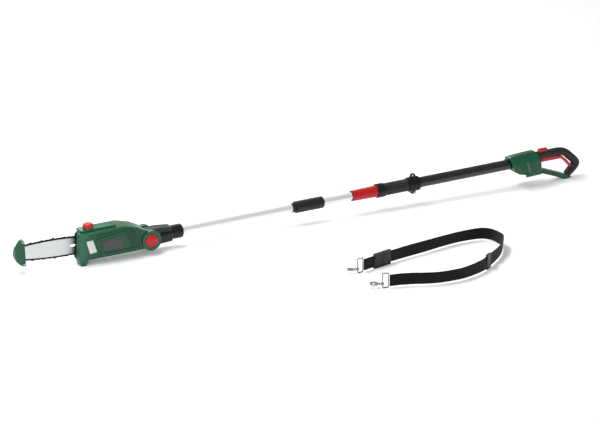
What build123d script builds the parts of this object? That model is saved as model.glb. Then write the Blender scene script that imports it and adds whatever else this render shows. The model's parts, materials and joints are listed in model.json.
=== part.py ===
from build123d import *

import os
from math import atan, atan2, cos, degrees, pi, radians, sin, tan

# Telescoping pole saw: a battery handle, a telescopic pole with a middle tube that
# comes out, and a tilting saw head.
# Every piece is drawn along the pole: X runs from the head's pivot towards the
# handle, Y towards the far side, Z up, and the pole's axis is Y = 0, Z = 0.
# At the end all pieces are stood on the floor together by one turn and one lift.

os.makedirs("parts", exist_ok=True)

# ---------------------------------------------------------------- clearances
run = 0.05  # radial running fit of a shaft in a hole
gap = 0.3  # room between two pieces that move past each other

# ---------------------------------------------------------------- pole, from head to handle
tube_d = 28.0
tube_wall = 1.5
outer_tube_d = 36.0
outer_tube_wall = 2.0
neck_length = 121.0
extension_bare = 400.0
coupling_length = 117.0
slide_bare = 110.0
nut_length = 92.0
clamp_ring_length = 30.0
grip_length = 91.0
strap_ring_length = 45.0
outer_bare = 348.0
stroke = 500.0
least_overlap = 100.0

tube_r = tube_d / 2
tube_bore_r = tube_r - tube_wall
outer_r = outer_tube_d / 2
outer_bore_r = outer_r - outer_tube_wall

coupling_x = neck_length + extension_bare
coupling_end_x = coupling_x + coupling_length
nut_x = coupling_end_x + slide_bare
nut_end_x = nut_x + nut_length
grip_x = nut_end_x + clamp_ring_length
strap_ring_x = grip_x + grip_length
strap_ring_end_x = strap_ring_x + strap_ring_length
housing_x = strap_ring_end_x + outer_bare
mouth_x = nut_end_x + 2.0
tube_in_housing = 100.0

# ---------------------------------------------------------------- how it stands
foot_x = -235.0  # middle of the head's foot
foot_drop = 42.0  # foot below the pole's axis
dee_rest_x = housing_x + 242.0  # middle of the flat under the D handle
dee_drop = 90.0
stand_slope = (dee_drop - foot_drop) / (dee_rest_x - foot_x)


def floor_at(x):
    """Height of the floor, seen from the pole's axis."""
    return -foot_drop - (x - foot_x) * stand_slope


def at_y(y):
    """Side-view plane at Y = y. An extrude on it goes towards -Y."""
    return Plane.XZ.offset(-y)


def sleeve(x0, x1, outer, inner):
    """Round piece along the pole, hollow when inner is over 0."""
    with BuildPart() as piece:
        with BuildSketch(Plane.YZ.offset(x0)):
            Circle(outer)
            if inner > 0:
                Circle(inner, mode=Mode.SUBTRACT)
        extrude(amount=x1 - x0)
    return piece


def cross_pin(x, z, y0, y1, outer, inner=0):
    """Round piece across the pole, from y0 to y1."""
    with BuildPart() as piece:
        with BuildSketch(at_y(y1)):
            with Locations((x, z)):
                Circle(outer)
                if inner > 0:
                    Circle(inner, mode=Mode.SUBTRACT)
        extrude(amount=y1 - y0)
    return piece


# ================================================================ TUBES
neck_bore_x = 48.0  # where the extension tube ends inside the neck
coupling_insert = 70.0
extension_end_x = coupling_x + coupling_insert
plug_flange = 3.0
web_x = extension_end_x + plug_flange + 3.0
web = 3.0
slide_tube_x = web_x + web
slide_tube_end_x = mouth_x + stroke + least_overlap

extension_tube = sleeve(neck_bore_x, extension_end_x, tube_r, tube_bore_r)
telescopic_tube = sleeve(slide_tube_x, slide_tube_end_x, tube_r, tube_bore_r)
outer_tube = sleeve(mouth_x, housing_x + tube_in_housing, outer_r, outer_bore_r)

bush_length = 20.0
guide_bush = sleeve(slide_tube_end_x - bush_length, slide_tube_end_x, outer_bore_r - run, tube_r)

# Contact plug in the end of the extension tube
plug_depth = 18.0
with BuildPart() as extension_plug:
    with BuildSketch(Plane.YZ.offset(extension_end_x - plug_depth)):
        Circle(tube_bore_r)
    extrude(amount=plug_depth)
    with BuildSketch(Plane.YZ.offset(extension_end_x)):
        Circle(tube_r)
    extrude(amount=plug_flange)
    with BuildSketch(Plane.YZ.offset(extension_end_x + plug_flange)):
        with GridLocations(8, 8, 2, 2):
            Rectangle(4, 1.2, mode=Mode.ADD)
    extrude(amount=-10, mode=Mode.SUBTRACT)

# ================================================================ COUPLING
socket_lip = 14.0
socket_r = 15.6
socket_thread_r = 17.0
coupling_nut_r = 20.0
nut_wall_end = 8.0
socket_end_x = coupling_end_x - nut_wall_end - 2.0
with BuildPart() as coupling_socket:
    with BuildSketch(Plane.YZ.offset(coupling_x)):
        Circle(socket_r)
    extrude(amount=socket_lip + 2)
    with BuildSketch(Plane.YZ.offset(coupling_x + socket_lip + 2)):
        Circle(socket_thread_r)
    extrude(amount=socket_end_x - coupling_x - socket_lip - 2)
    with BuildSketch(Plane.YZ.offset(coupling_x)):
        Circle(tube_r + run)
    extrude(amount=web_x - coupling_x, mode=Mode.SUBTRACT)
    with BuildSketch(Plane.YZ.offset(web_x)):
        Circle(tube_bore_r)
    extrude(amount=web, mode=Mode.SUBTRACT)
    with BuildSketch(Plane.YZ.offset(slide_tube_x)):
        Circle(tube_r)
    extrude(amount=socket_end_x - slide_tube_x, mode=Mode.SUBTRACT)
    # key slots in the mouth
    with BuildSketch(Plane.YZ.offset(coupling_x)):
        with PolarLocations(socket_r, 3, start_angle=90):
            Rectangle(5, 3)
    extrude(amount=6, mode=Mode.SUBTRACT)

with BuildPart() as coupling_nut:
    with BuildSketch(Plane.YZ.offset(coupling_x + socket_lip)):
        Circle(coupling_nut_r)
    extrude(amount=coupling_length - socket_lip)
    fillet(coupling_nut.faces().sort_by(Axis.X)[-1].edges(), radius=4)
    with BuildSketch(Plane.YZ.offset(coupling_x + socket_lip)):
        Circle(socket_r + gap)
    extrude(amount=2, mode=Mode.SUBTRACT)
    with BuildSketch(Plane.YZ.offset(coupling_x + socket_lip + 2 - gap)):
        Circle(socket_thread_r + gap)
    extrude(amount=socket_end_x + 2 * gap - coupling_x - socket_lip - 2, mode=Mode.SUBTRACT)
    with BuildSketch(Plane.YZ.offset(socket_end_x)):
        Circle(tube_r + gap)
    extrude(amount=nut_wall_end + 4, mode=Mode.SUBTRACT)

# ================================================================ TELESCOPE CLAMP
collet_out = 3.0
collet_r = 15.4
spigot_r = 16.6
spigot_length = 40.0
insert_length = 38.0
nut_front_r = 18.3
nut_back_r = 20.0
flutes = 12
flute_r = 2.2
clamp_face = 1.5
nut_lip = 12.0

with BuildPart() as clamp_collet:
    with BuildSketch(Plane.YZ.offset(nut_x - collet_out)):
        Circle(collet_r)
        Circle(tube_r + run, mode=Mode.SUBTRACT)
    extrude(amount=mouth_x - 4 - nut_x + collet_out)
    # slits that let the fingers close on the tube
    with BuildSketch(Plane.YZ.offset(nut_x - collet_out)):
        with PolarLocations(collet_r, 6):
            Rectangle(6, 2)
    extrude(amount=40, mode=Mode.SUBTRACT)

clamp_ring_r = 24.0
with BuildPart() as clamp_body:
    with BuildSketch(Plane.YZ.offset(mouth_x - clamp_face)):
        Circle(clamp_ring_r)
    extrude(amount=grip_x - mouth_x + clamp_face)
    fillet(clamp_body.edges(), radius=2)
    with BuildSketch(Plane.YZ.offset(mouth_x)):
        Circle(outer_r)
    extrude(amount=grip_x - mouth_x, mode=Mode.SUBTRACT)
    with BuildSketch(Plane.YZ.offset(mouth_x - clamp_face)):
        Circle(collet_r)
        # notch on top
        with Locations((0, clamp_ring_r)):
            Rectangle(7, 8)
    extrude(amount=18, mode=Mode.SUBTRACT)
    with BuildSketch(Plane.YZ.offset(mouth_x - spigot_length)):
        Circle(spigot_r)
        Circle(collet_r, mode=Mode.SUBTRACT)
    extrude(amount=spigot_length)
    with BuildSketch(Plane.YZ.offset(mouth_x - 4)):
        Circle(spigot_r)
        Circle(tube_r + run, mode=Mode.SUBTRACT)
    extrude(amount=4)
    with BuildSketch(Plane.YZ.offset(mouth_x)):
        Circle(outer_bore_r)
        Circle(tube_r + run, mode=Mode.SUBTRACT)
    extrude(amount=insert_length)

with BuildPart() as clamp_nut:
    with BuildSketch(Plane.YZ.offset(nut_x)):
        Circle(nut_front_r)
    with BuildSketch(Plane.YZ.offset(nut_end_x - gap)):
        Circle(nut_back_r)
    loft()
    with BuildSketch(Plane.YZ.offset(nut_x + nut_lip)):
        with PolarLocations(nut_back_r + flute_r * 0.5, flutes):
            Circle(flute_r)
    extrude(amount=nut_length - nut_lip - 10, mode=Mode.SUBTRACT)
    with BuildSketch(Plane.YZ.offset(nut_x)):
        Circle(collet_r + gap)
    extrude(amount=nut_length, mode=Mode.SUBTRACT)
    with BuildSketch(Plane.YZ.offset(mouth_x - spigot_length - gap)):
        Circle(spigot_r + gap)
    extrude(amount=spigot_length + 2 * gap, mode=Mode.SUBTRACT)

grip_r = 21.3
with BuildPart() as front_grip:
    with BuildSketch(Plane.YZ.offset(grip_x)):
        Circle(grip_r)
        Circle(outer_r, mode=Mode.SUBTRACT)
    extrude(amount=grip_length)
    fillet(front_grip.edges().filter_by(GeomType.CIRCLE).group_by(Edge.length)[-1], radius=1.5)

# ---------------------------------------------------------------- strap holder
strap_ring_r = 22.5
ridge_r = 25.0
ridge_width = 7.0
eye_x = strap_ring_x + strap_ring_length / 2
eye_r = 4.0
eye_rim_r = 9.0
eye_width = 8.0
eye_z = ridge_r + eye_r + 0.2
pinch_screw_r = 2.0
pinch_head_r = 3.6
pinch_z = -(strap_ring_r + 4.6)
pinch_half = 10.0
with BuildPart() as strap_ring:
    with BuildSketch(Plane.YZ.offset(strap_ring_x)):
        Circle(strap_ring_r)
    extrude(amount=strap_ring_length)
    for k in range(3):
        ridge_x = strap_ring_x + 4 + k * (strap_ring_length - 8 - ridge_width) / 2
        with BuildSketch(Plane.YZ.offset(ridge_x)):
            Circle(ridge_r)
        extrude(amount=ridge_width)
    with BuildSketch(at_y(eye_width / 2)):
        with Locations((eye_x, eye_z)):
            Circle(eye_rim_r)
        with Locations((eye_x, outer_r + 4)):
            Rectangle(2 * eye_rim_r + 8, 10)
    extrude(amount=eye_width)
    with BuildSketch(at_y(pinch_half)):
        with Locations((eye_x, pinch_z + 2)):
            Rectangle(14, 15)
    extrude(amount=2 * pinch_half)
    with BuildSketch(Plane.YZ.offset(strap_ring_x)):
        Circle(outer_r)
        with Locations((0, pinch_z)):
            Rectangle(1.6, 2 * (ridge_r - outer_r) + 8)
    extrude(amount=strap_ring_length, mode=Mode.SUBTRACT)
    with BuildSketch(at_y(eye_width / 2)):
        with Locations((eye_x, eye_z)):
            Circle(eye_r)
    extrude(amount=eye_width, mode=Mode.SUBTRACT)
    with BuildSketch(at_y(pinch_half)):
        with Locations((eye_x, pinch_z)):
            Circle(pinch_screw_r)
    extrude(amount=2 * pinch_half, mode=Mode.SUBTRACT)

# ================================================================ NECK
knuckle_r = 30.0
knuckle_half = 17.5
collar_x = 90.0
collar_r = 23.0
neck_round_r = 21.5
bolt_r = 6.0
neck_top = 29.5
with BuildPart() as neck_socket:
    with BuildSketch(at_y(knuckle_half)):
        Circle(knuckle_r)
        with BuildLine():
            Polyline((0, neck_top), (34, neck_top), (collar_x - 8, 24), (collar_x - 8, -23),
                     (45, -25), (6, -29), close=True)
        make_face()
    extrude(amount=2 * knuckle_half)
    with BuildSketch(Plane.YZ.offset(neck_bore_x - 6)):
        Circle(neck_round_r)
    extrude(amount=collar_x - neck_bore_x + 6)
    with BuildSketch(Plane.YZ.offset(neck_bore_x)):
        Circle(tube_r)
    extrude(amount=collar_x - neck_bore_x, mode=Mode.SUBTRACT)
    with BuildSketch(at_y(knuckle_half)):
        Circle(bolt_r + run)
    extrude(amount=2 * knuckle_half, mode=Mode.SUBTRACT)

collar_ribs = 24
with BuildPart() as neck_collar:
    with BuildSketch(Plane.YZ.offset(collar_x)):
        Circle(collar_r)
        Circle(tube_r, mode=Mode.SUBTRACT)
    extrude(amount=neck_length - collar_x)
    fillet(neck_collar.faces().sort_by(Axis.X)[-1].edges().sort_by(Edge.length)[-1], radius=3)
    with BuildSketch(Plane.YZ.offset(collar_x + 5)):
        with PolarLocations(collar_r + 0.6, collar_ribs):
            Circle(1.4)
    extrude(amount=neck_length - collar_x - 10, mode=Mode.SUBTRACT)

# ================================================================ SAW HEAD
head_half = 34.0
skin = 2.4
ear_r = 33.0
ear_inner = knuckle_half + gap
front_low_x = -248.0
front_top_x = -240.0
head_top = 66.0
head_low = -25.0
back_top_x = -97.0
cover_split_x = -108.0
gear_wall_y = 1.5  # inner face of the wall that carries bar and gear
gear_wall = 2.5
pocket_r = knuckle_r + 1.0
cavity_end_x = -44.0
foot_back_x = foot_x + 7.0

with BuildSketch() as head_outline:
    with BuildLine():
        Polyline((front_low_x, head_low), (front_top_x, head_top), (back_top_x, head_top),
                 (-46, 52), (-8, 32), (-8, head_low), close=True)
    make_face()
    Circle(ear_r)
    with BuildLine():
        Polyline((front_low_x, head_low + 2), (foot_x - 7, floor_at(foot_x - 7)),
                 (foot_back_x, floor_at(foot_back_x)), (foot_back_x + 12, head_low + 2), close=True)
    make_face()

with BuildSketch() as head_cavity:
    with BuildLine():
        Polyline((front_low_x + skin, head_low + skin), (front_top_x + skin, head_top - skin),
                 (back_top_x, head_top - skin), (cavity_end_x, 52 - skin),
                 (cavity_end_x, head_low + skin), close=True)
    make_face()

pocket_back_x = -14.0  # behind this line the ears stand alone

# the body between the ears, where the neck's knuckle turns
with BuildSketch() as head_middle:
    add(head_outline.sketch)
    Circle(pocket_r, mode=Mode.SUBTRACT)
    with Locations((pocket_back_x + 30, 0)):
        Rectangle(60, 100, mode=Mode.SUBTRACT)

# ---------------------------------------------------------------- bar and chain line
chain_pitch = 9.525  # between two rivets
drive_links = 34
sprocket_x = -155.0
sprocket_z = 14.4
bar_rise = 2.6  # degrees, nose up
bar_y = 8.0
bar_thick = 4.0
sprocket_pitch_r = chain_pitch / (2 * sin(radians(15)))
rail_drop = 3.3  # rail below the rivet line
nose_r = 20.9
crown = 28.0  # rivet line's half height where the bar is widest
crown_at = 92.0
rivet_nose_r = nose_r + rail_drop
bar_reach = (2 * drive_links * chain_pitch - pi * (sprocket_pitch_r + rivet_nose_r)) / 2

# side-view plane whose x runs along the bar towards its nose
bar_angle = 180 - bar_rise


def bar_plane(y):
    """Side-view plane at Y = y with its origin at the sprocket and x along the bar."""
    return Plane(
        origin=(sprocket_x, y, sprocket_z),
        x_dir=(cos(radians(bar_angle)), 0, sin(radians(bar_angle))),
        z_dir=(0, 1, 0),
    )


def bar_point(along, up):
    """Pole X and Z of a point given along and above the bar's middle line."""
    x = sprocket_x - along * cos(radians(bar_rise)) + up * sin(radians(bar_rise))
    z = sprocket_z + along * sin(radians(bar_rise)) + up * cos(radians(bar_rise))
    return x, z


with BuildSketch() as rivet_face:
    with BuildLine() as rivet_line:
        ThreePointArc((0, sprocket_pitch_r), (crown_at, crown), (bar_reach, rivet_nose_r))
        ThreePointArc((bar_reach, rivet_nose_r), (bar_reach + rivet_nose_r, 0),
                      (bar_reach, -rivet_nose_r))
        ThreePointArc((bar_reach, -rivet_nose_r), (crown_at, -crown), (0, -sprocket_pitch_r))
        ThreePointArc((0, -sprocket_pitch_r), (-sprocket_pitch_r, 0), (0, sprocket_pitch_r))
    make_face()

bar_tail = 25.0
groove_depth = 5.4
groove_width = 1.5
slot_from = 31.0
slot_to = 108.0
slot_half = 4.2
stud_at = 38.0
stud_r = 4.0
nose_window_r = 16.0
nose_post_r = 3.0

with BuildSketch() as rail_face:
    add(rivet_face.sketch)
    offset(amount=-rail_drop)
    with Locations((bar_tail - 50, 0)):
        Rectangle(100, 100, mode=Mode.SUBTRACT)

with BuildSketch() as groove_floor:
    add(rivet_face.sketch)
    offset(amount=-rail_drop - groove_depth)
    with Locations((bar_tail + groove_depth - 50, 0)):
        Rectangle(100, 100, mode=Mode.SUBTRACT)

with BuildPart() as guide_bar:
    with BuildSketch(bar_plane(bar_y - bar_thick / 2)):
        add(rail_face.sketch)
        with Locations(((slot_from + slot_to) / 2, 0)):
            SlotOverall(slot_to - slot_from, 2 * slot_half, mode=Mode.SUBTRACT)
    extrude(amount=bar_thick)
    with BuildSketch(bar_plane(bar_y - groove_width / 2)):
        add(rail_face.sketch)
        add(groove_floor.sketch, mode=Mode.SUBTRACT)
        with Locations((bar_reach, 0)):
            Circle(nose_window_r + 1.5)
            Circle(nose_post_r, mode=Mode.SUBTRACT)
    extrude(amount=groove_width, mode=Mode.SUBTRACT)

nose_teeth = 8
with BuildPart() as nose_sprocket:
    with BuildSketch(bar_plane(bar_y - 0.55)):
        with Locations((bar_reach, 0)):
            Circle(nose_window_r)
            Circle(nose_post_r + run, mode=Mode.SUBTRACT)
            with PolarLocations(nose_window_r, nose_teeth):
                Circle(1.7, mode=Mode.SUBTRACT)
    extrude(amount=1.1)

# ---------------------------------------------------------------- chain
link_thick = 1.1
strap_thick = 1.3
rivet_r = 1.6
rivet_hole_r = rivet_r + 0.1
strap_low = -2.5
strap_high = 2.8
link_end = 2.2
tang_depth = 7.3
cutter_top = 4.9
gauge_top = 4.1
half_pitch = chain_pitch / 2

with BuildSketch() as drive_link_face:
    with BuildLine():
        Polyline((-half_pitch - link_end, 2.4), (half_pitch + link_end, 2.4),
                 (half_pitch + link_end, -1.8), (2.2, -tang_depth), (-1.2, -tang_depth),
                 (-half_pitch - link_end, -1.8), close=True)
    make_face()

with BuildSketch() as tie_strap_face:
    with Locations((0, (strap_low + strap_high) / 2)):
        RectangleRounded(chain_pitch + 5.2, strap_high - strap_low, 2.2)
    with Locations((-half_pitch, 0), (half_pitch, 0)):
        Circle(rivet_hole_r, mode=Mode.SUBTRACT)

with BuildSketch() as cutter_face:
    with BuildLine():
        Polyline((-7.2, strap_low), (7.4, strap_low), (8.0, 0.5), (7.6, gauge_top - 1), (6.6, gauge_top),
                 (4.4, gauge_top), (3.6, 2.2), (0.6, 1.4), (1.6, cutter_top), (-6.4, cutter_top - 0.5),
                 (-7.6, 1.0), close=True)
    make_face()
    with Locations((-half_pitch, 0), (half_pitch, 0)):
        Circle(rivet_hole_r, mode=Mode.SUBTRACT)

chain_wire = rivet_line.wires()[0]
rivet_count = 2 * drive_links
rivets = [chain_wire.position_at(k / rivet_count) for k in range(rivet_count + 1)]


def link_place(k):
    """Place on the chain between rivet k and the next, x along the chain, y outwards."""
    start = rivets[k % rivet_count]
    end = rivets[(k + 1) % rivet_count]
    turn = degrees(atan2(end.Y - start.Y, end.X - start.X))
    middle = (start + end) / 2
    return Location((middle.X, middle.Y, 0), (0, 0, turn))


strap_outside = link_thick / 2 + strap_thick
with BuildPart() as chain_drive_links:
    with BuildSketch(bar_plane(bar_y - link_thick / 2)):
        for k in range(0, rivet_count, 2):
            with Locations(link_place(k)):
                add(drive_link_face.sketch)
    extrude(amount=link_thick)
    # the rivets sit tight in the drive links
    with BuildSketch(bar_plane(bar_y - strap_outside)):
        with Locations([(p.X, p.Y) for p in rivets[:-1]]):
            Circle(rivet_r)
    extrude(amount=2 * strap_outside)

with BuildPart() as chain_tie_straps:
    for side in (-1, 1):
        with BuildSketch(bar_plane(bar_y + (link_thick / 2 if side > 0 else -strap_outside))):
            for k in range(1, rivet_count, 2):
                if k % 4 == 1 and (k // 4 % 2 == 0) == (side > 0):
                    continue
                with Locations(link_place(k)):
                    add(tie_strap_face.sketch)
        extrude(amount=strap_thick)

top_plate_reach = 3.3
with BuildPart() as chain_cutters:
    for side in (-1, 1):
        with BuildSketch(bar_plane(bar_y + (link_thick / 2 if side > 0 else -strap_outside))):
            for k in range(1, rivet_count, 4):
                if (k // 4 % 2 == 0) == (side > 0):
                    with Locations(link_place(k)):
                        add(cutter_face.sketch)
        extrude(amount=strap_thick)
        with BuildSketch(bar_plane(bar_y + (strap_outside if side > 0 else -top_plate_reach))):
            for k in range(1, rivet_count, 4):
                if (k // 4 % 2 == 0) == (side > 0):
                    with Locations(link_place(k)):
                        with Locations((-2.4, cutter_top - 1.1)):
                            Rectangle(7.0, 1.2)
        extrude(amount=top_plate_reach - strap_outside)

# ---------------------------------------------------------------- nose guard
guard_half = 9.5
nose_x, nose_z = bar_point(bar_reach, 0)
guard_back = -4.0
guard_screw_r = 1.75
guard_head_r = 3.0
guard_head = 2.5
guard_head_y = bar_y - guard_half + 2.0
guard_screw_spots = [(nose_x - 10, nose_z + 37.5), (nose_x - 10, nose_z - 36)]
with BuildPart() as tip_guard:
    with BuildSketch(at_y(bar_y + guard_half)):
        with BuildLine():
            Polyline((nose_x + guard_back, nose_z - 42.5), (nose_x + guard_back, nose_z + 40),
                     (nose_x - 9, nose_z + 45), (nose_x - 16, nose_z + 42), (nose_x - 36, nose_z + 16))
            ThreePointArc((nose_x - 36, nose_z + 16), (nose_x - 34, nose_z - 22), (nose_x - 14, nose_z - 41))
            Line((nose_x - 14, nose_z - 41), (nose_x + guard_back, nose_z - 42.5))
        make_face()
    extrude(amount=2 * guard_half)
    with BuildSketch(bar_plane(bar_y - top_plate_reach - 1)):
        add(rivet_face.sketch)
        offset(amount=cutter_top + 1)
    extrude(amount=2 * top_plate_reach + 2, mode=Mode.SUBTRACT)
    with BuildSketch(at_y(guard_head_y)):
        with Locations(guard_screw_spots):
            Circle(guard_head_r)
    extrude(amount=guard_head, mode=Mode.SUBTRACT)
    with BuildSketch(at_y(guard_head_y + 10)):
        with Locations(guard_screw_spots):
            Circle(guard_screw_r)
    extrude(amount=10, mode=Mode.SUBTRACT)


# ---------------------------------------------------------------- sprocket, shaft and bearings
shaft_r = 5.0
bearing_r = 9.5
wall_far_y = gear_wall_y + gear_wall
hub_half = 2.6
plate_in = 0.9
sprocket_plate_r = 14.6
hub_r = sprocket_pitch_r * cos(radians(15)) - tang_depth - gap
bearing_1_end = bar_y - hub_half - 2 * run
bearing_2_y = -12.0
bearing_2_end = -6.0
shaft_end_y = bar_y + hub_half + 1.4

output_shaft = cross_pin(sprocket_x, sprocket_z, bearing_2_y, shaft_end_y, shaft_r)
with BuildPart() as drive_sprocket:
    with BuildSketch(bar_plane(bar_y - hub_half)):
        Circle(hub_r)
        Circle(shaft_r, mode=Mode.SUBTRACT)
    extrude(amount=2 * hub_half)
    for start in (bar_y - hub_half, bar_y + plate_in):
        with BuildSketch(bar_plane(start)):
            Circle(sprocket_plate_r)
            Circle(shaft_r, mode=Mode.SUBTRACT)
            with PolarLocations(sprocket_plate_r, 6):
                Circle(2.6, mode=Mode.SUBTRACT)
        extrude(amount=hub_half - plate_in)

with BuildPart() as output_bearings:
    for y0, y1 in ((gear_wall_y, bearing_1_end), (bearing_2_y, bearing_2_end)):
        with BuildSketch(at_y(y1)):
            with Locations((sprocket_x, sprocket_z)):
                Circle(bearing_r)
                Circle(shaft_r + run, mode=Mode.SUBTRACT)
        extrude(amount=y1 - y0)

# ---------------------------------------------------------------- motor and gears
gear_module = 1.0
pinion_teeth = 16
gear_teeth = 60
motor_z = 18.0
centre_distance = gear_module * (pinion_teeth + gear_teeth) / 2 + 0.1
motor_x = sprocket_x + (centre_distance**2 - (motor_z - sprocket_z) ** 2) ** 0.5
mesh_angle = degrees(atan((motor_z - sprocket_z) / (motor_x - sprocket_x)))
gear_y = -3.5
gear_end_y = 1.0
pinion_y = -4.0


def gear_points(teeth, turn):
    """Straight-flanked gear outline; turn is the angle of the first tooth in degrees."""
    pitch_r = gear_module * teeth / 2
    tip_r = pitch_r + 0.8 * gear_module
    root_r = pitch_r - 1.2 * gear_module
    half = 360 / teeth * 0.225
    slope = degrees(gear_module * tan(radians(20)) / pitch_r)
    points = []
    for tooth in range(teeth):
        middle = turn + tooth * 360 / teeth
        for radius, spread in ((root_r, half + 1.2 * slope), (tip_r, half - 0.8 * slope)):
            points.append((radius, middle - spread))
        for radius, spread in ((tip_r, half - 0.8 * slope), (root_r, half + 1.2 * slope)):
            points.append((radius, middle + spread))
    return [(r * cos(radians(a)), r * sin(radians(a))) for r, a in points]


with BuildSketch() as gear_face:
    with BuildLine():
        Polyline(gear_points(gear_teeth, mesh_angle), close=True)
    make_face()
with BuildSketch() as pinion_face:
    with BuildLine():
        Polyline(gear_points(pinion_teeth, mesh_angle + 180 + 180 / pinion_teeth), close=True)
    make_face()

with BuildPart() as drive_gear:
    with BuildSketch(at_y(gear_end_y)):
        with Locations((sprocket_x, sprocket_z)):
            add(gear_face.sketch)
            Circle(shaft_r, mode=Mode.SUBTRACT)
            with PolarLocations(gear_teeth * gear_module * 0.3, 6):
                Circle(5.0, mode=Mode.SUBTRACT)
    extrude(amount=gear_end_y - gear_y)

motor_shaft_r = 2.5
motor_back_y = -(head_half - skin)
motor_front_y = -5.0
motor_r = 22.0
with BuildPart() as motor_can:
    with BuildSketch(at_y(motor_front_y)):
        with Locations((motor_x, motor_z)):
            Circle(motor_r)
    extrude(amount=motor_front_y - motor_back_y)
    with BuildSketch(at_y(motor_front_y - 2)):
        with Locations((motor_x, motor_z)):
            Circle(motor_r - 3)
    extrude(amount=motor_front_y - motor_back_y - 4, mode=Mode.SUBTRACT)
    with BuildSketch(at_y(motor_front_y)):
        with Locations((motor_x, motor_z)):
            Circle(motor_shaft_r + run)
            with PolarLocations(14, 5):
                Circle(2.5)
    extrude(amount=4, mode=Mode.SUBTRACT)

with BuildPart() as motor_rotor:
    with BuildSketch(at_y(motor_front_y - 4)):
        with Locations((motor_x, motor_z)):
            Circle(motor_r - 6)
    extrude(amount=motor_front_y - motor_back_y - 8)
    with BuildSketch(at_y(gear_end_y)):
        with Locations((motor_x, motor_z)):
            Circle(motor_shaft_r)
    extrude(amount=gear_end_y - motor_back_y - 3)
    # pinion cut on the end of the shaft
    with BuildSketch(at_y(gear_end_y)):
        with Locations((motor_x, motor_z)):
            add(pinion_face.sketch)
    extrude(amount=gear_end_y - pinion_y)

# ---------------------------------------------------------------- bar stud and cover knob
stud_x, stud_z = bar_point(stud_at, 0)
knob_y = head_half + gap
knob_r = 20.0
knob_height = 13.0
stud_end_y = knob_y + knob_height - 3
with BuildPart() as cover_knob:
    with BuildSketch(at_y(knob_y + 5)):
        with Locations((stud_x, stud_z)):
            Circle(knob_r)
            with PolarLocations(knob_r + 3, 8):
                Circle(5, mode=Mode.SUBTRACT)
    extrude(amount=5)
    with BuildSketch(at_y(knob_y + knob_height)):
        with Locations((stud_x, stud_z)):
            SlotOverall(2 * knob_r - 4, 12, rotation=30)
    extrude(amount=knob_height - 5)
    with BuildSketch(at_y(knob_y + knob_height - 2.5)):
        with Locations((stud_x, stud_z)):
            Circle(stud_r + run)
    extrude(amount=knob_height, mode=Mode.SUBTRACT)

# ---------------------------------------------------------------- oil tank, cap and pump
tank_x = -229.0
tank_end_x = -187.0
tank_low = -8.0
tank_high = 60.0
tank_far_y = -0.5
tank_wall = 2.0
filler_x = -203.5
filler_y = -8.0
filler_r = 11.7
filler_bore_r = 9.5
top_cover_height = 7.0
filler_top = head_top + top_cover_height - 1
window_points = [(-222, 38), (-200, 39), (-188, -2), (-212, -5)]

with BuildSketch() as window_face:
    with BuildLine():
        Polyline(window_points, close=True)
    make_face()
    fillet(window_face.vertices(), radius=2)

with BuildPart() as oil_tank:
    with BuildSketch(at_y(tank_far_y)):
        with Locations(((tank_x + tank_end_x) / 2, (tank_low + tank_high) / 2)):
            Rectangle(tank_end_x - tank_x, tank_high - tank_low)
    extrude(amount=tank_far_y + head_half - skin)
    with BuildSketch(at_y(-(head_half - skin))):
        add(window_face.sketch)
    extrude(amount=skin + 0.3)
    with BuildSketch(Plane.XY.offset(tank_high)):
        with Locations((filler_x, filler_y)):
            Circle(filler_r)
    extrude(amount=filler_top - tank_high)
    with BuildSketch(Plane.XY.offset(tank_high - tank_wall)):
        with Locations((filler_x, filler_y)):
            Circle(filler_bore_r)
    extrude(amount=filler_top - tank_high + tank_wall, mode=Mode.SUBTRACT)
    with BuildSketch(at_y(tank_far_y - tank_wall)):
        with Locations(((tank_x + tank_end_x) / 2, (tank_low + tank_high) / 2)):
            Rectangle(tank_end_x - tank_x - 2 * tank_wall, tank_high - tank_low - 2 * tank_wall)
    extrude(amount=tank_far_y + head_half - skin - 2 * tank_wall, mode=Mode.SUBTRACT)

cap_r = 17.0
cap_z = head_top + top_cover_height + gap
cap_height = 15.5
plug_length = 10.0
with BuildPart() as oil_cap:
    with BuildSketch(Plane.XY.offset(cap_z)):
        with Locations((filler_x, filler_y)):
            Circle(cap_r)
    extrude(amount=cap_height)
    fillet(oil_cap.faces().sort_by(Axis.Z)[-1].edges(), radius=4)
    with BuildSketch(Plane.XY.offset(cap_z - plug_length)):
        with Locations((filler_x, filler_y)):
            Circle(filler_bore_r - gap)
    extrude(amount=plug_length + 3)
pump_x = -213.0
pump_end_x = -191.0
pump_low = -20.0
with BuildPart() as oil_pump:
    with BuildSketch(at_y(-10)):
        with Locations(((pump_x + pump_end_x) / 2, (pump_low + tank_low) / 2)):
            RectangleRounded(pump_end_x - pump_x, tank_low - pump_low, 2)
    extrude(amount=18)

# ---------------------------------------------------------------- shells of the head
top_cover_x = -236.0
top_cover_end_x = -112.0
top_cover_near = -25.0
top_cover_far = 18.0
with BuildPart() as head_top_cover:
    with BuildSketch(Plane.XY.offset(head_top)):
        with Locations(((top_cover_x + top_cover_end_x) / 2, (top_cover_near + top_cover_far) / 2)):
            RectangleRounded(top_cover_end_x - top_cover_x, top_cover_far - top_cover_near, 8)
    extrude(amount=top_cover_height)
    chamfer(head_top_cover.faces().sort_by(Axis.Z)[-1].edges(), length=2.5)
    with BuildSketch(Plane.XY.offset(head_top)):
        with Locations((filler_x, filler_y)):
            Circle(filler_r + gap)
    extrude(amount=top_cover_height, mode=Mode.SUBTRACT)

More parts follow.
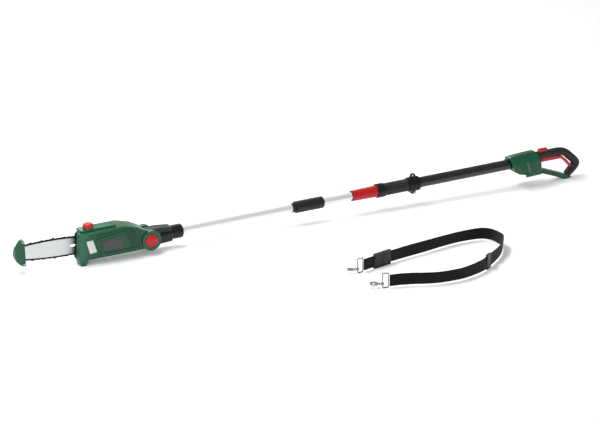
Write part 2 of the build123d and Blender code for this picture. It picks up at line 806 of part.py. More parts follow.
panel_points = [(-201, 52), (-68, 60), (-54, 43), (-33, -20), (-174, -18)]
panel_height = 5.0
badge_points = [(-173, 38), (-110, 37), (-92, -6), (-162, -4)]
badge_sunk = 1.5
panel_y = -(head_half + panel_height)
ring_boss = 6.0
recess_r = 22.3
recess_floor_y = -22.0
far_ring_boss = 4.0
far_recess_r = 13.0
far_recess_y = 30.0
screw_r = 1.8
screw_head_r = 3.4
boss_r = 4.5
front_screws = [(-236, 58), (-235, -22)]
back_screws = [(-60, 43), (-98, -16), (-58, -15)]

with BuildSketch() as badge_face:
    with BuildLine():
        Polyline(badge_points, close=True)
    make_face()
    fillet(badge_face.vertices(), radius=4)

with BuildPart() as head_shell_near:
    with BuildSketch(at_y(0)):
        add(head_middle.sketch)
    extrude(amount=ear_inner)
    with BuildSketch(at_y(-ear_inner)):
        add(head_outline.sketch)
    extrude(amount=head_half - ear_inner)
    with BuildSketch(at_y(-head_half)) as panel_face:
        with BuildLine():
            Polyline(panel_points, close=True)
        make_face()
        fillet(panel_face.vertices(), radius=8)
    extrude(amount=panel_height, taper=35)
    with BuildSketch(at_y(-head_half)):
        Circle(ear_r)
    extrude(amount=ring_boss)
    with BuildSketch(at_y(0)):
        add(head_cavity.sketch)
    extrude(amount=head_half - skin, mode=Mode.SUBTRACT)
    # posts inside
    with BuildSketch(at_y(0)):
        with Locations(front_screws + back_screws):
            Circle(boss_r)
    extrude(amount=head_half - skin)
    with BuildSketch(at_y(bearing_2_end)):
        with Locations((sprocket_x, sprocket_z)):
            Circle(bearing_r + 2.5)
    extrude(amount=head_half - skin + bearing_2_end)
    with BuildSketch(at_y(bearing_2_end)):
        with Locations((sprocket_x, sprocket_z)):
            Circle(bearing_r)
    extrude(amount=bearing_2_end - bearing_2_y, mode=Mode.SUBTRACT)
    with BuildSketch(at_y(0)):
        with Locations(front_screws + back_screws):
            Circle(screw_r)
    extrude(amount=24, mode=Mode.SUBTRACT)
    # room for the button and the bolt
    with BuildSketch(at_y(recess_floor_y)):
        Circle(recess_r)
    extrude(amount=head_half + ring_boss + recess_floor_y, mode=Mode.SUBTRACT)
    with BuildSketch(at_y(0)):
        Circle(bolt_r)
    extrude(amount=head_half, mode=Mode.SUBTRACT)
    # window, badge, cooling slots and filler
    with BuildSketch(at_y(-(head_half - skin))):
        add(window_face.sketch)
    extrude(amount=skin, mode=Mode.SUBTRACT)
    with BuildSketch(at_y(panel_y + badge_sunk)):
        add(badge_face.sketch)
    extrude(amount=badge_sunk + 1, mode=Mode.SUBTRACT)
    with BuildSketch(at_y(-(head_half - skin))):
        for k in range(6):
            with Locations((-80 + 2.4 * k, 42 - 8.5 * k)):
                SlotOverall(26, 2.4, rotation=4)
    extrude(amount=skin + panel_height, mode=Mode.SUBTRACT)
    with BuildSketch(Plane.XY.offset(tank_high)):
        with Locations((filler_x, filler_y)):
            Circle(filler_r + gap)
    extrude(amount=head_top - tank_high, mode=Mode.SUBTRACT)

with BuildPart() as head_shell_far:
    with BuildSketch(at_y(wall_far_y)):
        add(head_middle.sketch)
    extrude(amount=wall_far_y)
    with BuildSketch(at_y(ear_inner)):
        add(head_middle.sketch)
        with Locations((cover_split_x - 200, 0)):
            Rectangle(400, 300, mode=Mode.SUBTRACT)
    extrude(amount=ear_inner - wall_far_y)
    with BuildSketch(at_y(head_half)):
        add(head_outline.sketch)
        with Locations((cover_split_x - 200, 0)):
            Rectangle(400, 300, mode=Mode.SUBTRACT)
    extrude(amount=head_half - ear_inner)
    with BuildSketch(at_y(head_half + far_ring_boss)):
        Circle(ear_r)
    extrude(amount=far_ring_boss)
    with BuildSketch(at_y(gear_wall_y)):
        add(head_cavity.sketch)
    extrude(amount=gear_wall_y, mode=Mode.SUBTRACT)
    with BuildSketch(at_y(head_half - skin)):
        add(head_cavity.sketch)
        with Locations((cover_split_x + skin - 200, 0)):
            Rectangle(400, 300, mode=Mode.SUBTRACT)
    extrude(amount=head_half - skin - wall_far_y, mode=Mode.SUBTRACT)
    with BuildSketch(at_y(head_half - skin)):
        with Locations(back_screws):
            Circle(boss_r)
    extrude(amount=head_half - skin - wall_far_y)
    with BuildSketch(at_y(gear_wall_y)):
        with Locations(back_screws):
            Circle(boss_r)
    extrude(amount=gear_wall_y)
    with BuildSketch(at_y(gear_wall_y)):
        with Locations(front_screws):
            Circle(boss_r)
    extrude(amount=gear_wall_y)
    # pad for the bar and collar for the bearing
    with BuildSketch(bar_plane(wall_far_y)):
        with Locations((bar_tail + 18, 0)):
            RectangleRounded(32, 22, 4)
    extrude(amount=bar_y - bar_thick / 2 - wall_far_y)
    with BuildSketch(bar_plane(wall_far_y)):
        Circle(bearing_r + 2.0)
    extrude(amount=bearing_1_end - wall_far_y)
    with BuildSketch(bar_plane(gear_wall_y)):
        Circle(bearing_r)
        with Locations((stud_at, 0)):
            Circle(stud_r)
    extrude(amount=bar_y, mode=Mode.SUBTRACT)
    with BuildSketch(at_y(head_half + far_ring_boss)):
        Circle(far_recess_r)
    extrude(amount=head_half + far_ring_boss - far_recess_y, mode=Mode.SUBTRACT)
    with BuildSketch(at_y(head_half)):
        Circle(bolt_r)
        with Locations(front_screws + back_screws):
            Circle(screw_r)
    extrude(amount=head_half, mode=Mode.SUBTRACT)
    with BuildSketch(at_y(head_half)):
        with Locations(back_screws):
            Circle(screw_head_r)
    extrude(amount=3, mode=Mode.SUBTRACT)
    with BuildSketch(Plane.XY.offset(tank_high)):
        with Locations((filler_x, filler_y)):
            Circle(filler_r + gap)
    extrude(amount=head_top - tank_high, mode=Mode.SUBTRACT)

cover_front_x = -226.0
with BuildSketch() as cover_region:
    add(head_outline.sketch)
    with Locations((cover_split_x + 200, 0)):
        Rectangle(400, 300, mode=Mode.SUBTRACT)
    with Locations((cover_front_x - 200, 0)):
        Rectangle(400, 300, mode=Mode.SUBTRACT)
with BuildSketch() as cover_room:
    add(head_cavity.sketch)
    with Locations((cover_split_x - skin + 200, 0)):
        Rectangle(400, 300, mode=Mode.SUBTRACT)
    with Locations((cover_front_x + skin - 200, 0)):
        Rectangle(400, 300, mode=Mode.SUBTRACT)
with BuildPart() as sprocket_cover:
    with BuildSketch(at_y(head_half)):
        add(cover_region.sketch)
    extrude(amount=head_half - wall_far_y)
    fillet(sprocket_cover.edges().filter_by(Axis.Z, reverse=True).filter_by(
        lambda e: e.center().Y > head_half - 0.01 and e.center().X < cover_split_x - 1), radius=5)
    with BuildSketch(at_y(head_half - skin)):
        add(cover_room.sketch)
    extrude(amount=head_half - skin - wall_far_y, mode=Mode.SUBTRACT)
    with BuildSketch(at_y(head_half - skin)):
        with Locations((stud_x, stud_z)):
            Circle(8)
    extrude(amount=head_half - skin - bar_y - bar_thick / 2)
    with BuildSketch(at_y(head_half)):
        with Locations((stud_x, stud_z)):
            Circle(stud_r + gap)
    extrude(amount=head_half, mode=Mode.SUBTRACT)
    # mouth for bar and chain
    with BuildSketch(bar_plane(wall_far_y)):
        with Locations((-(cover_front_x - sprocket_x), 0)):
            Rectangle(30, 2 * (crown + cutter_top + 2))
    extrude(amount=bar_y + top_plate_reach + 1.5 - wall_far_y, mode=Mode.SUBTRACT)

with BuildPart() as head_screws:
    # stud that holds the bar
    with BuildSketch(at_y(stud_end_y)):
        with Locations((stud_x, stud_z)):
            Circle(stud_r)
    extrude(amount=stud_end_y - gear_wall_y)
    with BuildSketch(at_y(guard_head_y)):
        with Locations(guard_screw_spots):
            Circle(guard_head_r)
            RegularPolygon(1.5, 6, mode=Mode.SUBTRACT)
    extrude(amount=guard_head)
    with BuildSketch(at_y(guard_head_y + 10)):
        with Locations(guard_screw_spots):
            Circle(guard_screw_r)
    extrude(amount=10)
    with BuildSketch(at_y(wall_far_y)):
        with Locations(front_screws):
            Circle(screw_r)
    extrude(amount=wall_far_y + 20)
    with BuildSketch(at_y(wall_far_y + 2)):
        with Locations(front_screws):
            Circle(screw_head_r)
            RegularPolygon(1.5, 6, mode=Mode.SUBTRACT)
    extrude(amount=2)
    with BuildSketch(at_y(head_half - 3)):
        with Locations(back_screws):
            Circle(screw_r)
    extrude(amount=head_half - 3 + 20)
    with BuildSketch(at_y(head_half - 1)):
        with Locations(back_screws):
            Circle(screw_head_r)
            RegularPolygon(1.5, 6, mode=Mode.SUBTRACT)
    extrude(amount=2)

spike_count = 6
spike_y = 1.1
spike_thick = 2.6
spike_reach = 6.0
spike_pitch = (head_top - head_low - 6) / spike_count
front_lean = (front_top_x - front_low_x) / (head_top - head_low)
spike_line = []
for k in range(spike_count):
    low = head_low + 3 + k * spike_pitch
    spike_line.append((front_low_x + (low - head_low) * front_lean - 1.0, low))
    tip = low + spike_pitch * 0.5
    spike_line.append((front_low_x + (tip - head_low) * front_lean - spike_reach, tip))
spike_line.append((front_top_x - 1.0, head_top - 3))
with BuildPart() as bumper_spikes:
    with BuildSketch(at_y(spike_y + spike_thick)):
        with BuildLine():
            Polyline(spike_line + [(front_top_x, head_top - 3), (front_low_x, head_low + 3)], close=True)
        make_face()
        add(head_outline.sketch, mode=Mode.SUBTRACT)
    extrude(amount=spike_thick)

# ---------------------------------------------------------------- tilt pivot
bolt_head_r = 11.0
button_r = recess_r - gap
button_y = -45.0
button_skirt_y = -32.0
with BuildPart() as pivot_bolt:
    with BuildSketch(at_y(far_recess_y)):
        Circle(bolt_r)
    extrude(amount=far_recess_y - recess_floor_y)
    with BuildSketch(at_y(far_recess_y + 5)):
        Circle(bolt_head_r)
        RegularPolygon(4, 6, mode=Mode.SUBTRACT)
    extrude(amount=5)
with BuildPart() as tilt_lock_button:
    with BuildSketch(at_y(button_skirt_y)):
        Circle(button_r)
    extrude(amount=button_skirt_y - button_y)
    fillet(tilt_lock_button.faces().sort_by(Axis.Y)[0].edges(), radius=5)
    with BuildSketch(at_y(button_skirt_y)):
        Circle(button_r - 3)
    extrude(amount=button_skirt_y - button_y - 4, mode=Mode.SUBTRACT)

spring_r = 14.0
spring_wire_r = 0.9
spring_turns = 4
spring_y = recess_floor_y - spring_wire_r - 0.05
spring_length = -(button_y + 4 - spring_y) - spring_wire_r - 0.05
with BuildPart() as tilt_lock_spring:
    with BuildLine() as spring_path:
        Helix(pitch=spring_length / spring_turns, height=spring_length, radius=spring_r,
              center=(0, spring_y, 0), direction=(0, -1, 0))
    with BuildSketch(Plane(origin=spring_path.line @ 0, z_dir=spring_path.line % 0)):
        Circle(spring_wire_r)
    sweep()

# ================================================================ HANDLE
handle_half = 30.0
strut_half = 12.0
dee_half = 16.0
handle_skin = 2.6


def on_handle(points):
    """Points given from the housing's front, moved to their place on the pole."""
    return [(housing_x + x, z) for x, z in points]


shell_top = 26.0
bay_x = 24.0
bay_end_x = 121.0
bay_roof = -21.0
bay_half = 26.0
dee_flat = 18.0
rest_in_handle = dee_rest_x - housing_x
rest_front = (rest_in_handle - dee_flat / 2, floor_at(dee_rest_x - dee_flat / 2))
rest_back = (rest_in_handle + dee_flat / 2, floor_at(dee_rest_x + dee_flat / 2))

with BuildSketch() as housing_face:
    with BuildLine():
        Polyline(on_handle([(9, shell_top), (20, -22), (40, -34), (64, -39), (68, -49), (128, -47.5),
                            (132, -43), (117, shell_top)]), close=True)
    make_face()
with BuildSketch() as strut_face:
    with BuildLine():
        Polyline(on_handle([(120, -47.7), (142, -53), (181, -67), (221, -84), rest_front, rest_back,
                            (264, -86), (229, -68), (147, -36.5), (132, -43), (126, -40)]), close=True)
    make_face()
with BuildSketch() as housing_room:
    with BuildLine():
        Polyline(on_handle([(14, shell_top - handle_skin), (21.5, bay_roof + handle_skin),
                            (120, bay_roof + handle_skin), (112, shell_top - handle_skin)]), close=True)
    make_face()

# the housing's shoulders slope down from the spine, so it is narrower on top
shoulder_y = 16.0
shoulder_z = 8.0


def shoulder(side, depth):
    """Room outside the sloping shoulder, seen along the pole, moved in by some depth."""
    reach = Vector(shell_top - shoulder_z, handle_half - shoulder_y, 0).normalized() * depth
    low = (side * (handle_half - reach.X), shoulder_z - reach.Y)
    high = (side * (shoulder_y - reach.X), shell_top - reach.Y)
    run_y = side * (handle_half - shoulder_y) * 2
    run_z = (shell_top - shoulder_z) * 2
    return [(low[0] + run_y, low[1] - run_z), (high[0] - run_y, high[1] + run_z),
            (side * 90, high[1] + run_z), (side * 90, low[1] - run_z)]


handle_post = (107, 0)
strut_screws = [(151, -47), (236, -79)]
rib_x = 60.0


def handle_shell(side):
    """Half of the housing with its half of the lower strut; side is -1 near, +1 far."""
    outer_y = 0 if side < 0 else handle_half
    strut_y = 0 if side < 0 else strut_half
    room_y = 0 if side < 0 else handle_half - handle_skin
    with BuildPart() as room:
        with BuildSketch(at_y(room_y)):
            add(housing_room.sketch)
        extrude(amount=handle_half - handle_skin)
        with BuildSketch(Plane.YZ.offset(housing_x - 5)):
            Polygon(*shoulder(side, handle_skin), align=None)
        extrude(amount=150, mode=Mode.SUBTRACT)
    with BuildPart() as shell:
        with BuildSketch(at_y(outer_y)):
            add(housing_face.sketch)
        extrude(amount=handle_half)
        with BuildSketch(at_y(strut_y)):
            add(strut_face.sketch)
        extrude(amount=strut_half)
        add(room.part, mode=Mode.SUBTRACT)
        # rib that holds the tube, and the screw post
        with BuildSketch(at_y(room_y)):
            with Locations((housing_x + rib_x, (shell_top + bay_roof) / 2)):
                Rectangle(4, shell_top - bay_roof)
            with Locations(on_handle([handle_post])):
                Circle(boss_r)
        extrude(amount=handle_half - handle_skin)
        # battery bay, open below
        with BuildSketch(at_y(0 if side < 0 else bay_half)):
            with Locations((housing_x + (bay_x + bay_end_x) / 2, bay_roof - 25)):
                Rectangle(bay_end_x - bay_x, 50)
        extrude(amount=bay_half, mode=Mode.SUBTRACT)
        with BuildSketch(Plane.YZ.offset(housing_x - 5)):
            Circle(outer_r)
        extrude(amount=tube_in_housing + 5, mode=Mode.SUBTRACT)
        with BuildSketch(Plane.YZ.offset(housing_x - 5)):
            Polygon(*shoulder(side, 0), align=None)
        extrude(amount=150, mode=Mode.SUBTRACT)
        with BuildSketch(at_y(handle_half)):
            with Locations(on_handle([handle_post] + strut_screws)):
                Circle(screw_r)
        extrude(amount=handle_half + 10, mode=Mode.SUBTRACT)
        with BuildSketch(at_y(handle_half)):
            with Locations(on_handle([handle_post])):
                Circle(screw_head_r)
        extrude(amount=2, mode=Mode.SUBTRACT)
        with BuildSketch(at_y(strut_half)):
            with Locations(on_handle(strut_screws)):
                Circle(screw_head_r)
        extrude(amount=2, mode=Mode.SUBTRACT)
    return shell


handle_shell_near = handle_shell(-1)
handle_shell_far = handle_shell(1)

with BuildPart() as handle_screws:
    with BuildSketch(at_y(pinch_half)):
        with Locations((eye_x, pinch_z)):
            Circle(pinch_screw_r)
    extrude(amount=2 * pinch_half)
    with BuildSketch(at_y(-pinch_half)):
        with Locations((eye_x, pinch_z)):
            Circle(pinch_head_r)
            RegularPolygon(1.6, 6, mode=Mode.SUBTRACT)
    extrude(amount=3)
    with BuildSketch(at_y(handle_half - 2)):
        with Locations(on_handle([handle_post])):
            Circle(screw_r)
    extrude(amount=handle_half + 8)
    with BuildSketch(at_y(handle_half)):
        with Locations(on_handle([handle_post])):
            Circle(screw_head_r)
            RegularPolygon(1.5, 6, mode=Mode.SUBTRACT)
    extrude(amount=2)
    with BuildSketch(at_y(strut_half - 2)):
        with Locations(on_handle(strut_screws)):
            Circle(screw_r)
    extrude(amount=strut_half + 8)
    with BuildSketch(at_y(strut_half)):
        with Locations(on_handle(strut_screws)):
            Circle(screw_head_r)
            RegularPolygon(1.5, 6, mode=Mode.SUBTRACT)
    extrude(amount=2)

spine_half = 14.0
with BuildPart() as handle_spine:
    with BuildSketch(at_y(spine_half)):
        with BuildLine():
            Polyline(on_handle([(10, shell_top), (16, 28), (53, 30), (94, 32), (114, 32), (117, shell_top)]),
                     close=True)
        make_face()
    extrude(amount=2 * spine_half)
    fillet(handle_spine.edges().filter_by(lambda e: abs(e.center().Y) > spine_half - 0.01
                                          and e.center().Z > shell_top + 2), radius=2)

# ---------------------------------------------------------------- D grip, trigger and switch
pin_x, pin_z = on_handle([(271, -50)])[0]
trigger_stub_r = 2.5
trigger_stub = 12.0
trigger_half = 7.0
trigger_swing = 4.0
trigger_points = [(-128, 48.5), (-45, 47.5), (-22, 26), (-4, 5), (4, 2), (-3, -5), (-13, 2), (-28, 19),
                  (-46, 36.5), (-128, 37.5)]
with BuildSketch() as trigger_face:
    with BuildLine():
        Polyline(trigger_points, close=True)
    make_face()
    Circle(5)

with BuildPart() as trigger:
    with BuildSketch(at_y(trigger_half)):
        with Locations((pin_x, pin_z)):
            add(trigger_face.sketch)
    extrude(amount=2 * trigger_half)
    # the two stubs it turns on
    with BuildSketch(at_y(trigger_stub)):
        with Locations((pin_x, pin_z)):
            Circle(trigger_stub_r)
    extrude(amount=2 * trigger_stub)

lock_x = housing_x + 150.0
lock_length = 34.0
lock_half = 7.0
lock_low = 22.5
lock_high = 35.0
lock_travel = 3.0
switch_x = housing_x + 192.0
switch_length = 32.0
switch_low = 5.0
switch_high = 20.0
switch_half = 9.0

with BuildPart() as handle_grip:
    with BuildSketch(at_y(dee_half)):
        with BuildLine():
            Polyline(on_handle([(117, shell_top), (236, 27), (306, -42), (264, -86), (229, -68), (243, -59),
                                (262, -44), (250, -22), (227, -0.5), (138, 0), (141, -19), (147, -36.5),
                                (132, -43)]), close=True)
        make_face()
    extrude(amount=2 * dee_half)
    fillet(handle_grip.edges().filter_by(Axis.Y).filter_by(
        lambda e: e.center().X > housing_x + 230 and e.center().Z > 20), radius=24)
    fillet(handle_grip.edges().filter_by(Axis.Y).filter_by(
        lambda e: e.center().X > housing_x + 300), radius=10)
    # room for the trigger through its whole swing
    with BuildSketch(at_y(trigger_half + 0.5)):
        for step in range(5):
            with Locations(Location((pin_x, pin_z, 0), (0, 0, -trigger_swing * step / 4))):
                add(trigger_face.sketch)
        offset(amount=0.6)
    extrude(amount=2 * trigger_half + 1, mode=Mode.SUBTRACT)
    with BuildSketch(at_y(switch_half)):
        with Locations((switch_x, (switch_high + switch_low) / 2)):
            Rectangle(switch_length, switch_high - switch_low)
    extrude(amount=2 * switch_half, mode=Mode.SUBTRACT)
    with BuildSketch(at_y(switch_half - 2)):
        with Locations((switch_x, 2)):
            Rectangle(switch_length - 4, 8)
    extrude(amount=2 * switch_half - 4, mode=Mode.SUBTRACT)
    with BuildSketch(at_y(lock_half + gap)):
        with Locations((lock_x, lock_low - lock_travel - gap + 10)):
            Rectangle(lock_length + 2 * gap, 20)
    extrude(amount=2 * lock_half + 2 * gap, mode=Mode.SUBTRACT)
    with BuildSketch(at_y(trigger_stub + gap)):
        with Locations((pin_x, pin_z)):
            Circle(trigger_stub_r + run)
    extrude(amount=2 * trigger_stub + 2 * gap, mode=Mode.SUBTRACT)

with BuildPart() as switch_block:
    with BuildSketch(at_y(switch_half)):
        with Locations((switch_x, (switch_high + switch_low) / 2)):
            Rectangle(switch_length, switch_high - switch_low)
    extrude(amount=2 * switch_half)

with BuildPart() as lock_off_button:
    with BuildSketch(at_y(lock_half)):
        with Locations((lock_x, (lock_high + lock_low) / 2)):
            Rectangle(lock_length, lock_high - lock_low)
    extrude(amount=2 * lock_half)
    fillet(lock_off_button.edges().filter_by(lambda e: e.center().Z > lock_high - 0.01), radius=3)

board_thick = 1.6
with BuildPart() as circuit_board:
    with BuildSketch(at_y(-(handle_half - handle_skin) + board_thick)):
        with Locations((housing_x + 82, -5.5)):
            Rectangle(32, 24)
    extrude(amount=board_thick)

with BuildPart() as battery_terminal:
    with BuildSketch(Plane.XY.offset(bay_roof - 5)):
        with Locations((housing_x + 98, 0)):
            RectangleRounded(28, 34, 2)
    extrude(amount=5)
    with BuildSketch(Plane.XY.offset(bay_roof - 15)):
        with Locations((housing_x + 98, 0)):
            with GridLocations(0, 10, 1, 3):
                Rectangle(16, 1.2)
    extrude(amount=10)

# ================================================================ CARRYING STRAP
# Drawn straight on the floor: Z = 0 is the floor, X = 0 is the head's foot.
webbing_wide = 38.0
webbing_thick = 2.0
wire_r = 2.0
ring_high = 50.0
ring_corner = 3.0
front_ring_bar = (752, -489)
rear_ring_bar = (755, -645)
buckle_at = (833, -468)
buckle_turn = 14.6
buckle_half_length = 36.0
buckle_half_thick = 5.0
buckle_high = 48.0
webbing_low = (buckle_high - webbing_wide) / 2


def buckle_plane(z):
    """Level plane at height z with x along the buckle."""
    a = radians(buckle_turn)
    return Plane(origin=(buckle_at[0], buckle_at[1], z), x_dir=(cos(a), sin(a), 0), z_dir=(0, 0, 1))


def buckle_point(along):
    """Floor point on the buckle's middle line."""
    a = radians(buckle_turn)
    return buckle_at[0] + along * cos(a), buckle_at[1] + along * sin(a)


strap_points = [buckle_point(buckle_half_length + gap), (1010, -430), (1150, -405), (1222, -404), (1268, -442),
                (1262, -505), (1225, -556), (1150, -620), (1087, -664), (995, -699), (905, -697),
                (835, -664), rear_ring_bar]
strap_bends = [180, 200, 60, 34, 60, 120, 200, 160, 120, 120, 140]
with BuildLine() as strap_line:
    FilletPolyline(*strap_points, radius=strap_bends)

with BuildLine() as short_line:
    Line(buckle_point(-buckle_half_length - gap), front_ring_bar)


def webbing(line, ring_bar):
    """Webbing on edge along a line, with a sewn loop round a ring's bar."""
    with BuildPart() as piece:
        with BuildSketch(Plane.XY.offset(webbing_low)):
            trace(line, line_width=webbing_thick)
            with Locations(ring_bar):
                Circle(wire_r + 0.1 + webbing_thick)
                Circle(wire_r + 0.1, mode=Mode.SUBTRACT)
        extrude(amount=webbing_wide)
    return piece


strap_webbing_long = webbing(strap_line.line, rear_ring_bar)
strap_webbing_short = webbing(short_line.line, front_ring_bar)

wall_2 = 2.2
prong = 27.0
with BuildPart() as buckle_socket:
    with BuildSketch(buckle_plane(0)):
        with Locations((buckle_half_length / 2, 0)):
            RectangleRounded(buckle_half_length, 2 * buckle_half_thick, 2.5)
    extrude(amount=buckle_high)
    with BuildSketch(buckle_plane(4)):
        with Locations((prong / 2, 0)):
            Rectangle(prong + 1, 2 * (buckle_half_thick - wall_2))
    extrude(amount=buckle_high - 8, mode=Mode.SUBTRACT)

with BuildPart() as buckle_plug:
    with BuildSketch(buckle_plane(0)):
        with Locations((-(buckle_half_length + gap) / 2, 0)):
            RectangleRounded(buckle_half_length - gap, 2 * buckle_half_thick, 2.5)
    extrude(amount=buckle_high)
    for low, high in ((5, 12), (20, 26), (34, 41)):
        with BuildSketch(buckle_plane(low)):
            with Locations((prong / 2 - 4, 0)):
                Rectangle(prong - 2, 2 * (buckle_half_thick - wall_2 - gap))
        extrude(amount=high - low)

slider_at = (1118, -642)
slider_turn = 35.5
with BuildPart() as strap_slider:
    with BuildSketch(Plane(origin=(slider_at[0], slider_at[1], 0),
                           x_dir=(cos(radians(slider_turn)), sin(radians(slider_turn)), 0),
                           z_dir=(0, 0, 1))):
        RectangleRounded(30, 8, 3)
        Rectangle(40, webbing_thick + 1.8, mode=Mode.SUBTRACT)
    extrude(amount=buckle_high)
    with BuildSketch(Plane(origin=(slider_at[0], slider_at[1], 0),
                           x_dir=(cos(radians(slider_turn)), sin(radians(slider_turn)), 0),
                           z_dir=(0, 0, 1))):
        RectangleRounded(30, 8, 3)
    extrude(amount=webbing_low - gap)
    with BuildSketch(Plane(origin=(slider_at[0], slider_at[1], buckle_high - webbing_low + gap),
                           x_dir=(cos(radians(slider_turn)), sin(radians(slider_turn)), 0),
                           z_dir=(0, 0, 1))):
        RectangleRounded(30, 8, 3)
    extrude(amount=webbing_low - gap)


def ring_path(bar, turn, length):
    """Closed path of a standing wire ring, from its first upright bar along turn."""
    across = Plane(origin=(bar[0], bar[1], wire_r), x_dir=(cos(radians(turn)), sin(radians(turn)), 0),
                   z_dir=(sin(radians(turn)), -cos(radians(turn)), 0))
    with BuildLine(across) as path:
        FilletPolyline((0, 0), (length, 0), (length, ring_high - 2 * wire_r),
                       (0, ring_high - 2 * wire_r), radius=ring_corner, close=True)
    return path.line


ring_length = 18.0
front_ring_turn = 178.0
rear_ring_turn = 150.0
front_hook_turn = 160.0
rear_hook_turn = 150.0


def beyond(bar, turn, length):
    """Point at a distance from bar in the direction turn."""
    return bar[0] + length * cos(radians(turn)), bar[1] + length * sin(radians(turn))


front_eye = beyond(front_ring_bar, front_ring_turn, ring_length)
rear_eye = beyond(rear_ring_bar, rear_ring_turn, ring_length)


def wire_ring(bar, turn):
    """Standing ring of round wire."""
    line = ring_path(bar, turn, ring_length)
    with BuildPart() as ring:
        with BuildSketch(Plane(origin=line @ 0, z_dir=line % 0)):
            Circle(wire_r)
        sweep(path=line)
    return ring


strap_ring_front = wire_ring(front_ring_bar, front_ring_turn)
strap_ring_rear = wire_ring(rear_ring_bar, rear_ring_turn)

hook_low = 10.0
hook_thick = 6.0


def hook_plane(eye, turn, z):
    """Level plane at height z with its origin at the hook's eye and x towards its tip."""
    a = radians(turn)
    return Plane(origin=(eye[0], eye[1], z), x_dir=(cos(a), sin(a), 0), z_dir=(0, 0, 1))


front_bow_r = 9.5
rear_bow_r = 13.0
neck_reach = 14.0
mouth_share = 1.1  # mouth width over the bow's radius


gate_half = 1.5
gate_swing = 22.0


def gate_face(bow_r, room):
    """Side view of a gate with its hinge's middle at the origin; room is added all round."""
    length = mouth_share * bow_r - gate_half - 4 * gap
    with BuildSketch() as face:
        Circle(gate_half + room)
        with Locations((length / 2, 0)):
            Rectangle(length + 2 * room, 2 * (gate_half + room))
    return face


def gate_pivot(bow_r):
    """Middle of the gate's hinge, from the hook's eye."""
    return neck_reach + bow_r - mouth_share * bow_r / 2 + gap + gate_half, bow_r - 2.2


def snap_hook(eye, turn, bow_r):
    """Hook with an eye, a neck and an open bow."""
    bow_at = neck_reach + bow_r
    pivot_x, pivot_y = gate_pivot(bow_r)
    with BuildPart() as hook:
        with BuildSketch(hook_plane(eye, turn, hook_low)):
            Circle(wire_r + 3)
            with Locations((neck_reach / 2 + 2.5, 0)):
                Rectangle(neck_reach + 1, 6)
            with Locations((bow_at, 0)):
                Circle(bow_r)
                Circle(bow_r - 4, mode=Mode.SUBTRACT)
            Circle(wire_r + 0.15, mode=Mode.SUBTRACT)
        extrude(amount=hook_thick)
        # mouth, and room for the gate through its whole swing
        with BuildSketch(hook_plane(eye, turn, hook_low)):
            with Locations((bow_at, bow_r - 1)):
                Rectangle(mouth_share * bow_r, 5)
            for step in range(6):
                with Locations(Location((pivot_x, pivot_y, 0), (0, 0, -gate_swing * step / 5))):
                    add(gate_face(bow_r, gap).sketch)
        extrude(amount=hook_thick, mode=Mode.SUBTRACT)
    return hook


def hook_gate(eye, turn, bow_r):
    """Straight gate that closes the hook's mouth."""
    with BuildPart() as gate:
        with BuildSketch(hook_plane(eye, turn, hook_low + 1)):
            with Locations(gate_pivot(bow_r)):
                add(gate_face(bow_r, 0).sketch)
        extrude(amount=hook_thick - 2)
    return gate


hook_front = snap_hook(front_eye, front_hook_turn, front_bow_r)
hook_rear = snap_hook(rear_eye, rear_hook_turn, rear_bow_r)
hook_gate_front = hook_gate(front_eye, front_hook_turn, front_bow_r)
hook_gate_rear = hook_gate(rear_eye, rear_hook_turn, rear_bow_r)

# ================================================================ STANDING ON THE FLOOR
# The foot's middle becomes the origin and the floor Z = 0.
stand_angle = degrees(atan(stand_slope))
standing = Location((0, 0, 0), (0, -stand_angle, 0)) * Location((-foot_x, 0, foot_drop))

pole_pieces = {
    "guide_bar": guide_bar,
    "nose_sprocket": nose_sprocket,
    "chain_drive_links": chain_drive_links,
    "chain_tie_straps": chain_tie_straps,
    "chain_cutters": chain_cutters,
    "tip_guard": tip_guard,
    "bumper_spikes": bumper_spikes,
    "head_shell_near": head_shell_near,
    "head_shell_far": head_shell_far,
    "head_top_cover": head_top_cover,
    "sprocket_cover": sprocket_cover,
    "head_screws": head_screws,
    "cover_knob": cover_knob,
    "oil_tank": oil_tank,
    "oil_cap": oil_cap,
    "oil_pump": oil_pump,
    "motor_can": motor_can,
    "motor_rotor": motor_rotor,
    "drive_gear": drive_gear,
    "output_shaft": output_shaft,
    "output_bearings": output_bearings,
    "drive_sprocket": drive_sprocket,
    "pivot_bolt": pivot_bolt,
    "tilt_lock_button": tilt_lock_button,
    "tilt_lock_spring": tilt_lock_spring,
    "neck_socket": neck_socket,
    "neck_collar": neck_collar,
    "extension_tube": extension_tube,
    "extension_plug": extension_plug,
    "coupling_socket": coupling_socket,
    "coupling_nut": coupling_nut,
    "telescopic_tube": telescopic_tube,
    "guide_bush": guide_bush,
    "clamp_collet": clamp_collet,
    "clamp_body": clamp_body,
    "clamp_nut": clamp_nut,
    "outer_tube": outer_tube,
    "front_grip": front_grip,
    "strap_ring": strap_ring,
    "handle_shell_near": handle_shell_near,
    "handle_shell_far": handle_shell_far,
    "handle_spine": handle_spine,
    "handle_grip": handle_grip,
    "trigger": trigger,
    "lock_off_button": lock_off_button,
    "switch_block": switch_block,
    "circuit_board": circuit_board,
    "battery_terminal": battery_terminal,
    "handle_screws": handle_screws,
}
strap_pieces = {
    "strap_webbing_long": strap_webbing_long,
    "strap_webbing_short": strap_webbing_short,
    "strap_slider": strap_slider,
    "buckle_socket": buckle_socket,
    "buckle_plug": buckle_plug,
    "strap_ring_front": strap_ring_front,
    "strap_ring_rear": strap_ring_rear,
    "hook_front": hook_front,
    "hook_rear": hook_rear,
    "hook_gate_front": hook_gate_front,
    "hook_gate_rear": hook_gate_rear,
}

